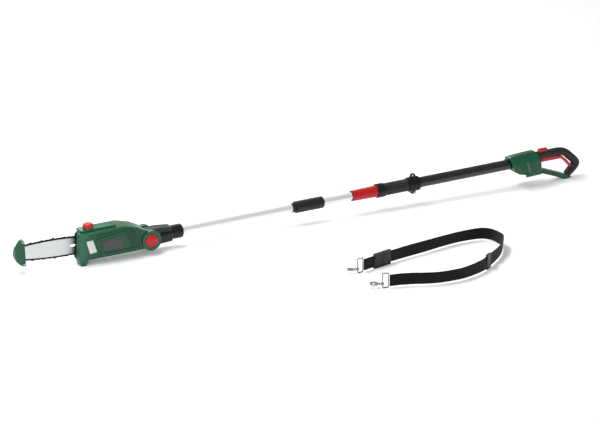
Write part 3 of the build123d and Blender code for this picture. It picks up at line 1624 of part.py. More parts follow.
for name, piece in pole_pieces.items():
    piece.part.label = name
    piece.part.move(standing)
    export_step(piece.part, f"parts/{name}.step")
for name, piece in strap_pieces.items():
    piece.part.label = name
    export_step(piece.part, f"parts/{name}.step")
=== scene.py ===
# %% [markdown]
# A telescopic pole saw lies on a pale floor with its carrying strap in front of it.
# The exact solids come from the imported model. This lesson loads them, then builds the
# visible skins around them: moulded plastic with soft edges, drawn metal and woven webbing.

# %% Load the frame
import json
from math import atan2, cos, degrees, pi, radians, sin

import bmesh
import bpy
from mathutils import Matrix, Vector

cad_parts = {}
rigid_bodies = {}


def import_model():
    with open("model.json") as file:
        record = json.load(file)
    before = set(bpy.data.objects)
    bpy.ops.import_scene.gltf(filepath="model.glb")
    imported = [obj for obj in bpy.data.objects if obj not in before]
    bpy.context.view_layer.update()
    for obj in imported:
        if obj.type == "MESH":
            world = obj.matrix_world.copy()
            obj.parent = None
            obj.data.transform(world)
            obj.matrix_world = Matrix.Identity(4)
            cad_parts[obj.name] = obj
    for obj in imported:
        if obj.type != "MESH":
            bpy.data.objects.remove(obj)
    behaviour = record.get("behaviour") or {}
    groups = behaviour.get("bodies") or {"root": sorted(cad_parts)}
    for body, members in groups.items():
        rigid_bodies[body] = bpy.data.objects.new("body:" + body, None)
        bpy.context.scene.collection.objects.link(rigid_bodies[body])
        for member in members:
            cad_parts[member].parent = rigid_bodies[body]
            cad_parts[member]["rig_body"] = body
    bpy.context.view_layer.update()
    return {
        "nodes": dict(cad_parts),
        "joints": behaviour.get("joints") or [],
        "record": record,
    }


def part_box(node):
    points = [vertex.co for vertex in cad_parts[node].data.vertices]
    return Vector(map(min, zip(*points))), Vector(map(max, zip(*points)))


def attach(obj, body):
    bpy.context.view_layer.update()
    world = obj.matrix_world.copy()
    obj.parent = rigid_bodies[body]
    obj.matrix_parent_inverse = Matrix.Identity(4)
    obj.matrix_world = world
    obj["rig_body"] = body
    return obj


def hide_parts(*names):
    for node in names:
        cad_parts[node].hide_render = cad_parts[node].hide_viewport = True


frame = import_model()
nodes = frame["nodes"]
joints = {joint["name"]: joint for joint in frame["joints"]}

# %% [markdown]
# The pole lies at a small slope, so most pieces are easier to draw in its own directions:
# along it from the tilt pivot towards the handle, across it, and up from its middle line.
# The pivot and the slope come from two joints of the frame, so they can't drift from the solids.

# %% Directions of the pole
pivot = Vector(joints["head_tilt"]["pos_m"])
along = Vector(joints["telescope_slide"]["axis"]).normalized()
across = Vector((0, 1, 0))
upward = across.cross(along) * -1
MM = 0.001


def on_pole(x, y, z):
    """World point from millimetres along, across and above the pole's middle line."""
    return pivot + (along * x + across * y + upward * z) * MM


print("pole rises", round(degrees(atan2(along.z, along.x)), 2), "degrees")

# %% [markdown]
# The camera looks down at about 19 degrees, from the side of the strap and towards the handle.
# A long lens from 8 m away keeps the pole's two ends nearly the same size.

# %% Camera
camera_azimuth = radians(27.8)
camera_elevation = radians(19.262)
camera_distance = 8.0
camera_drop = 0.0187  # the saw sits a little above the middle of the picture

look = Vector((sin(camera_azimuth) * cos(camera_elevation), cos(camera_azimuth) * cos(camera_elevation),
               -sin(camera_elevation)))
camera_data = bpy.data.cameras.new("camera")
camera_data.sensor_width = 36.0
camera_data.lens = 145.52
camera = bpy.data.objects.new("camera", camera_data)
bpy.context.scene.collection.objects.link(camera)
camera.rotation_mode = "QUATERNION"
camera.rotation_quaternion = look.to_track_quat("-Z", "Y")
picture_up = camera.rotation_quaternion @ Vector((0, 1, 0))
aim = on_pole(554, 0, 0) - picture_up * camera_drop
camera.location = aim - look * camera_distance
bpy.context.scene.camera = camera
print("camera at", [round(v, 3) for v in camera.location])

# %% [markdown]
# Two kinds of helper make every mesh here. Rings of points joined into a skin give lathe
# turned, swept and plate-like pieces. A rounded copy of a solid softens its edges, because
# moulded plastic never has a knife edge and a highlight along the edge is what the eye reads.


# %% Mesh from rings
def add_mesh(name, mesh_builder, body, finish, smooth_angle=35):
    """Turns a bmesh into a piece with its finish, riding on a body."""
    mesh = bpy.data.meshes.new(name)
    bmesh.ops.recalc_face_normals(mesh_builder, faces=mesh_builder.faces)
    mesh_builder.to_mesh(mesh)
    mesh_builder.free()
    mesh.polygons.foreach_set("use_smooth", [True] * len(mesh.polygons))
    mesh.set_sharp_from_angle(angle=radians(smooth_angle))
    mesh.materials.append(finish)
    piece = bpy.data.objects.new(name, mesh)
    bpy.context.scene.collection.objects.link(piece)
    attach(piece, body)
    return piece


def ring_skin(rings, closed=False):
    """Skin over rings of points. Open skins get a cap at each end."""
    builder = bmesh.new()
    rows = [[builder.verts.new(point) for point in ring] for ring in rings]
    count = len(rows[0])
    pairs = list(zip(rows, rows[1:]))
    if closed:
        pairs.append((rows[-1], rows[0]))
    for first, second in pairs:
        for i in range(count):
            j = (i + 1) % count
            builder.faces.new((first[i], first[j], second[j], second[i]))
    if not closed:
        builder.faces.new(rows[0][::-1])
        builder.faces.new(rows[-1])
    return builder


# %% [markdown]
# A turned piece is a profile of radius and height spun round an axis. A moulded piece is
# a copy of the solid with a small bevel, so it keeps every opening of the solid it stands for.

# %% Lathe work and rounded copies
def turned(name, profile, centre, axis, body, finish, steps=72, flute=None):
    """Turned piece: profile holds (radius, height) in millimetres along the axis."""
    turn = Vector(axis).to_track_quat("Z", "Y")
    rings = []
    for radius, height in profile:
        ring = []
        for k in range(steps):
            angle = 2 * pi * k / steps
            reach = radius * (flute(angle, radius, height) if flute else 1)
            ring.append(centre + turn @ Vector((reach * cos(angle), reach * sin(angle), height)) * MM)
        rings.append(ring)
    return add_mesh(name, ring_skin(rings), body, finish)


def rounded(node, width, finish, steps=2, angle=28):
    """Copy of a solid with softened edges, which stands for it."""
    builder = bmesh.new()
    builder.from_mesh(nodes[node].data)
    bmesh.ops.remove_doubles(builder, verts=builder.verts, dist=0.00001)
    bmesh.ops.dissolve_limit(builder, angle_limit=radians(0.6), verts=builder.verts, edges=builder.edges)
    body = nodes[node]["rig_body"]
    piece = add_mesh(node + "_skin", builder, body, finish)
    bevel = piece.modifiers.new("soft edges", "BEVEL")
    bevel.width = width * MM
    bevel.segments = steps
    bevel.limit_method = "ANGLE"
    bevel.angle_limit = radians(angle)
    bevel.use_clamp_overlap = True
    bevel.harden_normals = True
    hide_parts(node)
    return piece


# %% [markdown]
# Real finishes are never one flat colour. Moulded plastic has a fine spark-eroded grain and
# slightly paler, rubbed edges; drawn tube has long faint scratches; webbing has a weave.
# Each such effect is one node group, made once and placed in each material with its own values.


# %% Helpers for node groups
def new_group(name, inputs, outputs):
    """Empty shader group with its sockets, and its two end nodes."""
    group = bpy.data.node_groups.new(name, "ShaderNodeTree")
    for label, value in inputs.items():
        socket = group.interface.new_socket(label, in_out="INPUT", socket_type="NodeSocketFloat")
        socket.default_value = value
    for label in outputs:
        group.interface.new_socket(label, in_out="OUTPUT", socket_type="NodeSocketFloat")
    start = group.nodes.new("NodeGroupInput")
    end = group.nodes.new("NodeGroupOutput")
    return group, start, end


def noise_in(group, scale_socket, detail, stretch=None):
    """Noise texture on the object's own coordinates."""
    place = group.nodes.new("ShaderNodeTexCoord")
    texture = group.nodes.new("ShaderNodeTexNoise")
    texture.inputs["Detail"].default_value = detail
    if stretch:
        mapping = group.nodes.new("ShaderNodeMapping")
        mapping.inputs["Scale"].default_value = stretch
        group.links.new(place.outputs["Object"], mapping.inputs["Vector"])
        group.links.new(mapping.outputs["Vector"], texture.inputs["Vector"])
    else:
        group.links.new(place.outputs["Object"], texture.inputs["Vector"])
    group.links.new(scale_socket, texture.inputs["Scale"])
    return texture


# %% [markdown]
# Grain is fine noise for the bump and slow noise for the tone. Edge rub reads how convex the
# surface is, and breaks that up with noise, since hands and boxes never rub an edge evenly.

# %% Moulded grain and edge rub
def make_grain():
    """Fine moulded grain and slow tone changes."""
    group, start, end = new_group("moulded grain", {"Grain Scale": 900.0, "Tone Scale": 14.0},
                                  ["Height", "Tone"])
    fine = noise_in(group, start.outputs["Grain Scale"], 3.0)
    slow = noise_in(group, start.outputs["Tone Scale"], 4.0)
    group.links.new(fine.outputs["Fac"], end.inputs["Height"])
    group.links.new(slow.outputs["Fac"], end.inputs["Tone"])
    return group


def make_edge_rub():
    """Mask that is 1 on convex edges, broken up by noise."""
    group, start, end = new_group("edge rub", {"Amount": 1.0, "Break Scale": 120.0}, ["Mask"])
    geometry = group.nodes.new("ShaderNodeNewGeometry")
    ramp = group.nodes.new("ShaderNodeMapRange")
    ramp.inputs["From Min"].default_value = 0.52
    ramp.inputs["From Max"].default_value = 0.62
    group.links.new(geometry.outputs["Pointiness"], ramp.inputs["Value"])
    broken = noise_in(group, start.outputs["Break Scale"], 3.0)
    times = group.nodes.new("ShaderNodeMath")
    times.operation = "MULTIPLY"
    group.links.new(ramp.outputs["Result"], times.inputs[0])
    group.links.new(broken.outputs["Fac"], times.inputs[1])
    strength = group.nodes.new("ShaderNodeMath")
    strength.operation = "MULTIPLY"
    strength.use_clamp = True
    group.links.new(times.outputs[0], strength.inputs[0])
    group.links.new(start.outputs["Amount"], strength.inputs[1])
    group.links.new(strength.outputs[0], end.inputs["Mask"])
    return group


# %% [markdown]
# Drawn lines are noise stretched far along X. The weave is two sine waves, one along the
# webbing and one across it, multiplied into a plain over-and-under pattern.


# %% Long scratches and weave
def make_drawn_lines():
    """Long faint lines along X, as drawing or grinding leaves on metal."""
    group, start, end = new_group("drawn lines", {"Line Scale": 60.0}, ["Height", "Tone"])
    lines = noise_in(group, start.outputs["Line Scale"], 4.0, stretch=(0.4, 30.0, 30.0))
    slow = noise_in(group, start.outputs["Line Scale"], 2.0, stretch=(0.08, 0.4, 0.4))
    group.links.new(lines.outputs["Fac"], end.inputs["Height"])
    group.links.new(slow.outputs["Fac"], end.inputs["Tone"])
    return group


def make_weave():
    """Webbing weave from the strap's own length and width coordinates."""
    group, start, end = new_group("webbing weave", {"Threads Along": 700.0, "Ribs Across": 15.0},
                                  ["Height", "Tone"])
    place = group.nodes.new("ShaderNodeTexCoord")
    split = group.nodes.new("ShaderNodeSeparateXYZ")
    group.links.new(place.outputs["UV"], split.inputs["Vector"])
    waves = []
    for axis, count in (("X", "Threads Along"), ("Y", "Ribs Across")):
        turns = group.nodes.new("ShaderNodeMath")
        turns.operation = "MULTIPLY"
        group.links.new(split.outputs[axis], turns.inputs[0])
        group.links.new(start.outputs[count], turns.inputs[1])
        wave = group.nodes.new("ShaderNodeMath")
        wave.operation = "SINE"
        angle = group.nodes.new("ShaderNodeMath")
        angle.operation = "MULTIPLY"
        angle.inputs[1].default_value = 2 * pi
        group.links.new(turns.outputs[0], angle.inputs[0])
        group.links.new(angle.outputs[0], wave.inputs[0])
        waves.append(wave)
    both = group.nodes.new("ShaderNodeMath")
    both.operation = "MULTIPLY"
    group.links.new(waves[0].outputs[0], both.inputs[0])
    group.links.new(waves[1].outputs[0], both.inputs[1])
    half = group.nodes.new("ShaderNodeMapRange")
    half.inputs["From Min"].default_value = -1.0
    group.links.new(both.outputs[0], half.inputs["Value"])
    group.links.new(half.outputs["Result"], end.inputs["Height"])
    group.links.new(half.outputs["Result"], end.inputs["Tone"])
    return group


grain_group = make_grain()
edge_group = make_edge_rub()
line_group = make_drawn_lines()
weave_group = make_weave()
print("node groups", [group.name for group in bpy.data.node_groups])

# %% [markdown]
# One recipe serves every finish: a base colour that wanders a little in tone, a paler colour
# on rubbed edges, a roughness that follows the same tone, and a bump from the grain or lines.
# What tells the finishes apart is the group that drives it and the values set on the shader.


# %% Recipe for a finish
def add_group(material, group, values):
    """Places a node group in a material with its own values."""
    node = material.node_tree.nodes.new("ShaderNodeGroup")
    node.node_tree = group
    for label, value in values.items():
        node.inputs[label].default_value = value
    return node


def mix_colours(material, mask, first, second):
    """Mix node between two colours; first may be a socket or a colour."""
    mix = material.node_tree.nodes.new("ShaderNodeMix")
    mix.data_type = "RGBA"
    material.node_tree.links.new(mask, mix.inputs["Factor"])
    if hasattr(first, "links"):
        material.node_tree.links.new(first, mix.inputs["A"])
    else:
        mix.inputs["A"].default_value = (*first, 1)
    mix.inputs["B"].default_value = (*second, 1)
    return mix.outputs["Result"]


def finish_of(name, colour, pale, rough, surface, values, bump, metal=0.0, coat=0.0, edge=1.2,
              rough_spread=0.12, gleam=0.4):
    """Material with tone, rubbed edges, uneven roughness and bump."""
    material = bpy.data.materials.new(name)
    material.use_nodes = True
    links = material.node_tree.links
    shader = material.node_tree.nodes["Principled BSDF"]
    pattern = add_group(material, surface, values)
    worn = add_group(material, edge_group, {"Amount": edge})
    darker = tuple(c * 0.82 for c in colour)
    toned = mix_colours(material, pattern.outputs["Tone"], darker, colour)
    coloured = mix_colours(material, worn.outputs["Mask"], toned, pale)
    links.new(coloured, shader.inputs["Base Color"])
    spread = material.node_tree.nodes.new("ShaderNodeMapRange")
    spread.inputs["To Min"].default_value = rough - rough_spread / 2
    spread.inputs["To Max"].default_value = rough + rough_spread / 2
    links.new(pattern.outputs["Tone"], spread.inputs["Value"])
    links.new(spread.outputs["Result"], shader.inputs["Roughness"])
    relief = material.node_tree.nodes.new("ShaderNodeBump")
    relief.inputs["Strength"].default_value = bump
    relief.inputs["Distance"].default_value = 0.0002
    links.new(pattern.outputs["Height"], relief.inputs["Height"])
    links.new(relief.outputs["Normal"], shader.inputs["Normal"])
    shader.inputs["Metallic"].default_value = metal
    shader.inputs["Specular IOR Level"].default_value = gleam
    shader.inputs["Coat Weight"].default_value = coat
    shader.inputs["Coat Roughness"].default_value = 0.12
    return material


def plastic(name, colour, pale, rough=0.36, bump=0.25, coat=0.0, grain=900.0, edge=1.2, gleam=0.3):
    """Moulded plastic."""
    return finish_of(name, colour, pale, rough, grain_group, {"Grain Scale": grain}, bump, coat=coat,
                     edge=edge, gleam=gleam)


def metal(name, colour, rough=0.25, bump=0.12, lines=60.0, weight=1.0, coat=0.0):
    """Drawn, ground or turned metal."""
    return finish_of(name, colour, tuple(min(1.0, c * 1.15) for c in colour), rough, line_group,
                     {"Line Scale": lines}, bump, metal=weight, coat=coat, edge=0.6)


# %% [markdown]
# The plastics differ mostly in colour and gloss. The pole's bare tubes are a bright, half
# metallic finish, because a fully metallic one only mirrors the studio and turns grey.

# %% All the finishes
green = plastic("green housing", (0.003, 0.082, 0.034), (0.02, 0.2, 0.1), rough=0.3, coat=0.15)
# The paler green is the top cover's own plastic; on the handle's facets it is painted highlight.
pale_green_and_highlight = plastic("pale green top cover and painted highlight", (0.006, 0.13, 0.058), (0.04, 0.28, 0.16), rough=0.28, coat=0.25)
black = plastic("black housing", (0.004, 0.004, 0.0045), (0.02, 0.02, 0.021), rough=0.3, gleam=0.35)
charcoal = plastic("charcoal sleeve", (0.013, 0.015, 0.016), (0.05, 0.055, 0.055), rough=0.4, gleam=0.3)
soft_grey = plastic("soft grip rubber", (0.016, 0.017, 0.019), (0.04, 0.04, 0.043), rough=0.5, bump=0.4,
                    grain=500.0, gleam=0.35)
red = plastic("red control", (0.56, 0.008, 0.012), (0.7, 0.04, 0.045), rough=0.28, coat=0.15)
milky = plastic("milky oil window", (0.78, 0.79, 0.77), (0.9, 0.9, 0.9), rough=0.25, coat=0.3)
label_grey = plastic("label plate", (0.06, 0.063, 0.07), (0.12, 0.12, 0.13), rough=0.3, bump=0.08)
aluminium = metal("drawn aluminium", (0.86, 0.87, 0.89), rough=0.34, bump=0.02, lines=20.0, weight=0.45)
black_tube = metal("black coated tube", (0.004, 0.004, 0.0045), rough=0.22, bump=0.02, weight=0.0, coat=0.5)
bar_steel = metal("ground bar steel", (0.62, 0.63, 0.64), rough=0.36, bump=0.15, lines=90.0)
chain_steel = metal("oiled chain steel", (0.012, 0.012, 0.013), rough=0.34, lines=240.0, weight=0.6)
plain_steel = metal("turned steel", (0.55, 0.55, 0.56), rough=0.28)
black_steel = metal("blackened steel", (0.02, 0.02, 0.022), rough=0.4, weight=0.6)
bright_wire = metal("nickel wire", (0.30, 0.30, 0.31), rough=0.14, bump=0.03)
copper = metal("copper winding", (0.72, 0.32, 0.16), rough=0.35, lines=300.0)
webbing = finish_of("black webbing", (0.006, 0.006, 0.0065), (0.02, 0.02, 0.021), 0.75, weave_group, {},
                    0.8, edge=0.3, gleam=0.15)
webbing.node_tree.nodes["Principled BSDF"].inputs["Sheen Weight"].default_value = 0.12
print("finishes", len(bpy.data.materials))

# %% [markdown]
# Every solid first gets its finish on its own mesh. Whatever is replaced by a better skin
# later is hidden then, and what stays is already right.

# %% Finish on every solid
finish_by_slot = {
    "green_plastic": green, "light_green_plastic": pale_green_and_highlight, "black_plastic": black,
    "grey_plastic": charcoal, "red_plastic": red, "clear_tank": milky, "soft_grip": soft_grey,
    "aluminium": aluminium, "black_tube": black_tube, "bar_steel": bar_steel,
    "chain_steel": chain_steel, "steel": plain_steel, "dark_steel": black_steel,
    "wire": bright_wire, "copper": copper, "webbing": webbing,
}
slot_of = {part["node"]: part["material_slot"] for part in frame["record"]["subparts"]}
for name, solid in nodes.items():
    solid.data.materials.clear()
    solid.data.materials.append(finish_by_slot[slot_of[name]])
print("solids finished", len(nodes))

# %% [markdown]
# The moulded housings keep their exact shape and only lose their sharp edges.
# A copy with a small bevel is enough, since the solid already has every opening and screw.

# %% Rounded housings and fittings
softened = {
    "head_shell_near": (1.6, green, "green_plastic"),
    "head_shell_far": (1.6, green, "green_plastic"),
    "head_top_cover": (1.0, pale_green_and_highlight, "light_green_plastic"),
    "sprocket_cover": (1.6, green, "green_plastic"),
    "tip_guard": (2.2, green, "green_plastic"),
    "neck_socket": (2.0, black, "black_plastic"),
    "neck_collar": (0.5, black, "black_plastic"),
    "coupling_socket": (1.2, charcoal, "grey_plastic"),
    "coupling_nut": (1.0, charcoal, "grey_plastic"),
    "clamp_nut": (0.9, red, "red_plastic"),
    "clamp_body": (0.9, black, "black_plastic"),
    "strap_ring": (0.9, black, "black_plastic"),
    "handle_shell_near": (2.2, green, "green_plastic"),
    "handle_shell_far": (2.2, green, "green_plastic"),
    "handle_spine": (1.2, green, "green_plastic"),
    "trigger": (2.0, red, "red_plastic"),
    "lock_off_button": (1.2, red, "red_plastic"),
    "cover_knob": (0.8, black, "black_plastic"),
    "buckle_socket": (1.2, black, "black_plastic"),
    "buckle_plug": (1.0, black, "black_plastic"),
    "strap_slider": (0.8, black, "black_plastic"),
}
for node, (width, finish, slot) in softened.items():
    rounded(node, width, finish)
print("rounded", len(softened))

# %% [markdown]
# The near side of the head carries a raised panel. Its edge is a broad sloping band that
# catches the light, and inside it the floor is sunk again around a plain label plate.
# Outlines at rising depths make it: each is the same polygon moved in by some amount.


# %% Outline tools
def moved_in(points, amounts):
    """Convex outline moved in; amounts holds one distance for each side."""
    count = len(points)
    middle = sum((Vector(p) for p in points), Vector((0, 0))) / count
    sides = []
    for i in range(count):
        a, b = Vector(points[i]), Vector(points[(i + 1) % count])
        normal = Vector((-(b - a).y, (b - a).x)).normalized()
        if normal.dot(middle - a) < 0:
            normal = -normal
        sides.append((a + normal * amounts[i], (b - a).normalized()))
    moved = []
    for i in range(count):
        (p, d), (q, e) = sides[i - 1], sides[i]
        cross = d.x * e.y - d.y * e.x
        t = ((q - p).x * e.y - (q - p).y * e.x) / cross
        moved.append(p + d * t)
    return moved


def cornered(points, radius, steps=6):
    """Closed outline with rounded corners."""
    outline = []
    count = len(points)
    for i in range(count):
        before, here, after = Vector(points[i - 1]), Vector(points[i]), Vector(points[(i + 1) % count])
        to_before, to_after = (before - here).normalized(), (after - here).normalized()
        half = to_before.angle(to_after) / 2
        reach = min(radius / max(0.2, sin(half)) * cos(half),
                    (before - here).length * 0.45, (after - here).length * 0.45)
        start, end = here + to_before * reach, here + to_after * reach
        for k in range(steps + 1):
            t = k / steps
            outline.append(start * (1 - t) ** 2 + here * 2 * t * (1 - t) + end * t * t)
    return outline


def side_plate(name, layers, body, finish):
    """Plate on the pole's side: layers hold (outline, y) pairs from the base outwards."""
    rings = [[on_pole(p.x, y, p.y) for p in outline] for outline, y in layers]
    return add_mesh(name, ring_skin(rings), body, finish, smooth_angle=50)


# %% [markdown]
# The panel rises to its band and drops again to a floor, which the label plate is let into.
# The plate stays plain, with no lettering.

# %% Raised side panel with its label plate
panel = [(-203, 50), (-74, 61.5), (-52, 55), (-31, -20), (-176, -18.5)]
near_side = -34.0
level = [0, 0, 0, 0, 0]
band = [11, 5, 3, 6, 9]
floor_band = [14.5, 8.5, 6, 10, 12.5]


def share(amounts, part):
    return [a * part for a in amounts]


side_plate("side_panel", [
    (cornered(moved_in(panel, level), 9), near_side + 1.0),
    (cornered(moved_in(panel, share(band, 0.1)), 9), near_side - 1.6),
    (cornered(moved_in(panel, share(band, 0.5)), 8), near_side - 5.4),
    (cornered(moved_in(panel, share(band, 0.95)), 7), near_side - 8.4),
    (cornered(moved_in(panel, band), 6.5), near_side - 8.7),
    (cornered(moved_in(panel, share(floor_band, 0.92)), 6), near_side - 8.0),
    (cornered(moved_in(panel, floor_band), 5.5), near_side - 5.6),
], "head", green)

label = [(-173, 33), (-112, 39), (-96, -5), (-163, -3)]
label_y = near_side - 5.6
side_plate("label_plate", [
    (cornered(label, 4), label_y + 0.5),
    (cornered(label, 4), label_y - 0.5),
    (cornered(moved_in(label, [0.6] * 4), 3.6), label_y - 0.8),
], "head", label_grey)
print("side panel outlines", len(floor_band), "corners each")

# %% [markdown]
# Behind the label the motor breathes through a row of slots. Each slot is a shallow rounded black bar on
# the panel, painted shade for the slot's dark inside, with a green lip above it that throws a small shadow.

# %% Cooling slots
slot_count = 6
for k in range(slot_count):
    x0, z0 = -92 + 3.2 * k, 40 - 9.2 * k
    x1 = x0 + 34 - 1.2 * k
    bar = [(x0 + 2, z0 + 2.2), (x1, z0 + 5.2), (x1, z0 + 2.4), (x0 + 2, z0 - 0.6)]
    # The black bar is painted shade, standing for the dark inside of the slot.
    side_plate(f"cooling_slot_painted_shade_{k}", [
        (cornered(bar, 1.3, 4), label_y + 0.4),
        (cornered(bar, 1.3, 4), label_y - 0.15),
    ], "head", black)
    lip = [(x0 + 1, z0 + 5.0), (x1 + 1, z0 + 8.0), (x1 + 1, z0 + 5.9), (x0 + 1, z0 + 2.9)]
    side_plate(f"slot_lip_{k}", [
        (cornered(lip, 0.9, 4), label_y + 0.4),
        (cornered(lip, 0.9, 4), label_y - 1.0),
        (cornered(moved_in(lip, [0.5] * 4), 0.6, 4), label_y - 1.5),
    ], "head", green)
print("cooling slots", slot_count)

# %% [markdown]
# The window into the oil tank is a clear slanted pane with a soft raised rim round it.

# %% Oil window
window = [(-222, 38), (-200, 39), (-188, -2), (-212, -5)]
side_plate("oil_window", [
    (cornered(window, 2.5), near_side + 0.5),
    (cornered(window, 2.5), near_side - 0.9),
    (cornered(moved_in(window, [1.0] * 4), 2), near_side - 1.5),
], "head", milky)

# %% [markdown]
# A round boss on each side holds the tilt joint. On the near side it is a ring with the red
# lock button in its middle, so both are turned pieces. The button is domed, with two rings.

# %% Tilt boss and lock button
to_near = Vector((0, -1, 0))
boss_profile = [(33.4, 30.0), (33.4, 35.0), (32.6, 37.6), (30.6, 39.4), (28.0, 40.2), (25.4, 39.6),
                (23.4, 37.2), (22.6, 34.0), (22.4, 24.0), (22.8, 23.0), (30.0, 22.6)]
turned("tilt_boss", boss_profile, pivot, to_near, "head", green, steps=96)
button_profile = [(21.6, 33.0), (21.9, 36.0), (21.5, 39.5), (20.2, 42.4), (18.0, 44.2), (15.0, 45.0),
                  (14.4, 44.9), (13.7, 44.2), (12.6, 44.1), (11.8, 44.8), (11.0, 45.2), (8.0, 45.5),
                  (4.6, 45.6), (4.0, 45.1), (2.0, 45.0)]
button = turned("tilt_button", button_profile, pivot, to_near, "tilt_lock", red, steps=96)
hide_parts("tilt_lock_button")

# %% [markdown]
# The oil cap is turned too, with shallow finger flutes that stop short of its crown.
# A low collar round the filler hides the joint between cap and cover.

# %% Oil cap
cap_low, cap_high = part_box("oil_cap")
cap_x, cap_y = -203.5, -8
cap_flutes = 18


def cap_flute(angle, radius, height):
    """Small finger flutes round the cap's side."""
    if radius < 14 or height > 12.5:
        return 1.0
    return 1.0 - 0.035 * max(0.0, cos(cap_flutes * angle)) ** 2


cap_profile = [(9.2, -10.0), (9.2, 0.4), (16.4, 0.4), (17.0, 1.2), (17.0, 6.0), (16.9, 10.0), (16.2, 12.6),
               (14.4, 14.5), (11.4, 15.3), (9.6, 15.4), (8.8, 15.0), (5.0, 15.1), (4.2, 15.5), (1.0, 15.5)]
cap = turned("oil_cap_turned", cap_profile, on_pole(cap_x, cap_y, 73.3), upward, "oil_cap", red,
             steps=144, flute=cap_flute)
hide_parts("oil_cap")
neck_profile = [(17.5, -1.5), (18.5, -0.5), (18.5, 1.4), (17.6, 2.2), (15.0, 2.3)]
turned("filler_collar", neck_profile, on_pole(cap_x, cap_y, 71.0), upward, "head", green,
       steps=72)
print("oil cap", round((cap_high - cap_low).z / MM, 1), "mm high")

# %% [markdown]
# The front of the head is a bumper that is pressed against the branch. It has fine ribs
# across its face so that bark doesn't slide on it.

# %% Ribbed bumper
rib_count = 12
front_low = Vector((-248.0, -22.0))
front_high = Vector((-240.4, 62.0))
for k in range(rib_count):
    t = (k + 0.5) / rib_count
    x, z = front_low.lerp(front_high, t)
    outline = [(x + 3, z - 2.4), (x - 0.6, z - 1.6), (x - 1.5, z), (x - 0.6, z + 1.6), (x + 3, z + 2.4)]
    rings = []
    for y in (-32.0, -31.0, -6.0, -5.0):
        shrink = 0.55 if y in (-32.0, -5.0) else 1.0
        rings.append([on_pole(x + (px - x) * shrink, y, z + (pz - z) * shrink) for px, pz in outline])
    add_mesh(f"bumper_rib_{k}", ring_skin(rings), "head", green)
print("bumper ribs", rib_count)

# %% [markdown]
# The D handle is gripped in two places, so a soft rubber skin wraps it. It is a closed hose
# of oval sections: each section has a centre, a height in the handle's plane and a width.


# %% Swept oval sections
def oval_sweep(name, sections, body, finish, steps=32, power=2.3):
    """Skin over oval sections in the side plane: (x, z, half height, half width) in millimetres."""
    centres = [Vector((s[0], s[1])) for s in sections]
    rings = []
    for i, (x, z, tall, wide) in enumerate(sections):
        before, after = centres[max(0, i - 1)], centres[min(len(centres) - 1, i + 1)]
        run = (after - before).normalized()
        out = Vector((-run.y, run.x))
        ring = []
        for k in range(steps):
            angle = 2 * pi * k / steps
            c, s = cos(angle), sin(angle)
            a = abs(c) ** (2 / power) * (1 if c > 0 else -1)
            b = abs(s) ** (2 / power) * (1 if s > 0 else -1)
            point = centres[i] + out * (a * tall)
            ring.append(on_pole(point.x, b * wide, point.y))
        rings.append(ring)
    return add_mesh(name, ring_skin(rings), body, finish, smooth_angle=60)


def curve_through(stations, steps=6):
    """Catmull-Rom curve through tuples of numbers."""
    fine = []
    for i in range(len(stations) - 1):
        p0 = Vector(stations[max(0, i - 1)])
        p1, p2 = Vector(stations[i]), Vector(stations[i + 1])
        p3 = Vector(stations[min(len(stations) - 1, i + 2)])
        for k in range(steps):
            t = k / steps
            fine.append(0.5 * (2 * p1 + (p2 - p0) * t + (2 * p0 - 5 * p1 + 4 * p2 - p3) * t * t
                               + (3 * p1 - p0 - 3 * p2 + p3) * t ** 3))
    fine.append(Vector(stations[-1]))
    return [tuple(p) for p in fine]


# %% [markdown]
# The hose runs along the top of the D, round its far corner and down to the lower strut.
# A second, shorter one is the front post, and both follow a smooth curve through a few sections.

# %% D grip
housing = 1354.0  # front of the handle's housing along the pole
grip_stations = [(116, 13, 12.5, 14), (140, 13.2, 12, 14.5), (180, 13.2, 12.4, 15), (215, 12.6, 13, 15),
                 (240, 6, 13.5, 15), (262, -12, 14.0, 15), (280, -29, 14.0, 15), (287, -40, 14.5, 14.5),
                 (281, -51, 14.5, 14.5), (266, -65, 14, 14), (250, -78, 12, 13)]
grip_curve = curve_through([(housing + x, z, tall, wide) for x, z, tall, wide in grip_stations])
grip = oval_sweep("grip_rubber", grip_curve, "handle", soft_grey)
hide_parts("handle_grip")
post_stations = [(124, 12, 9, 15), (131, -4, 8.5, 14), (134, -20, 8, 13.5), (136, -36, 7.5, 12.5),
                 (138, -44, 6, 12)]
post_curve = curve_through([(housing + x, z, tall, wide) for x, z, tall, wide in post_stations])
oval_sweep("grip_post", post_curve, "handle", soft_grey, power=3.0)

# %% [markdown]
# Two thin dark bands mark where the moulded grip was joined. Each is a very short hose,
# a quarter of a millimetre proud of the grip.

# %% Seams of the grip
for k, station in enumerate((2, 4)):
    x, z, tall, wide = grip_stations[station]
    seam_run = curve_through([(housing + x - 0.7, z, tall + 0.25, wide + 0.25),
                              (housing + x + 0.7, z - 0.1, tall + 0.25, wide + 0.25)], steps=2)
    oval_sweep(f"grip_seam_{k}", seam_run, "handle", black)
print("grip sections", len(grip_curve))
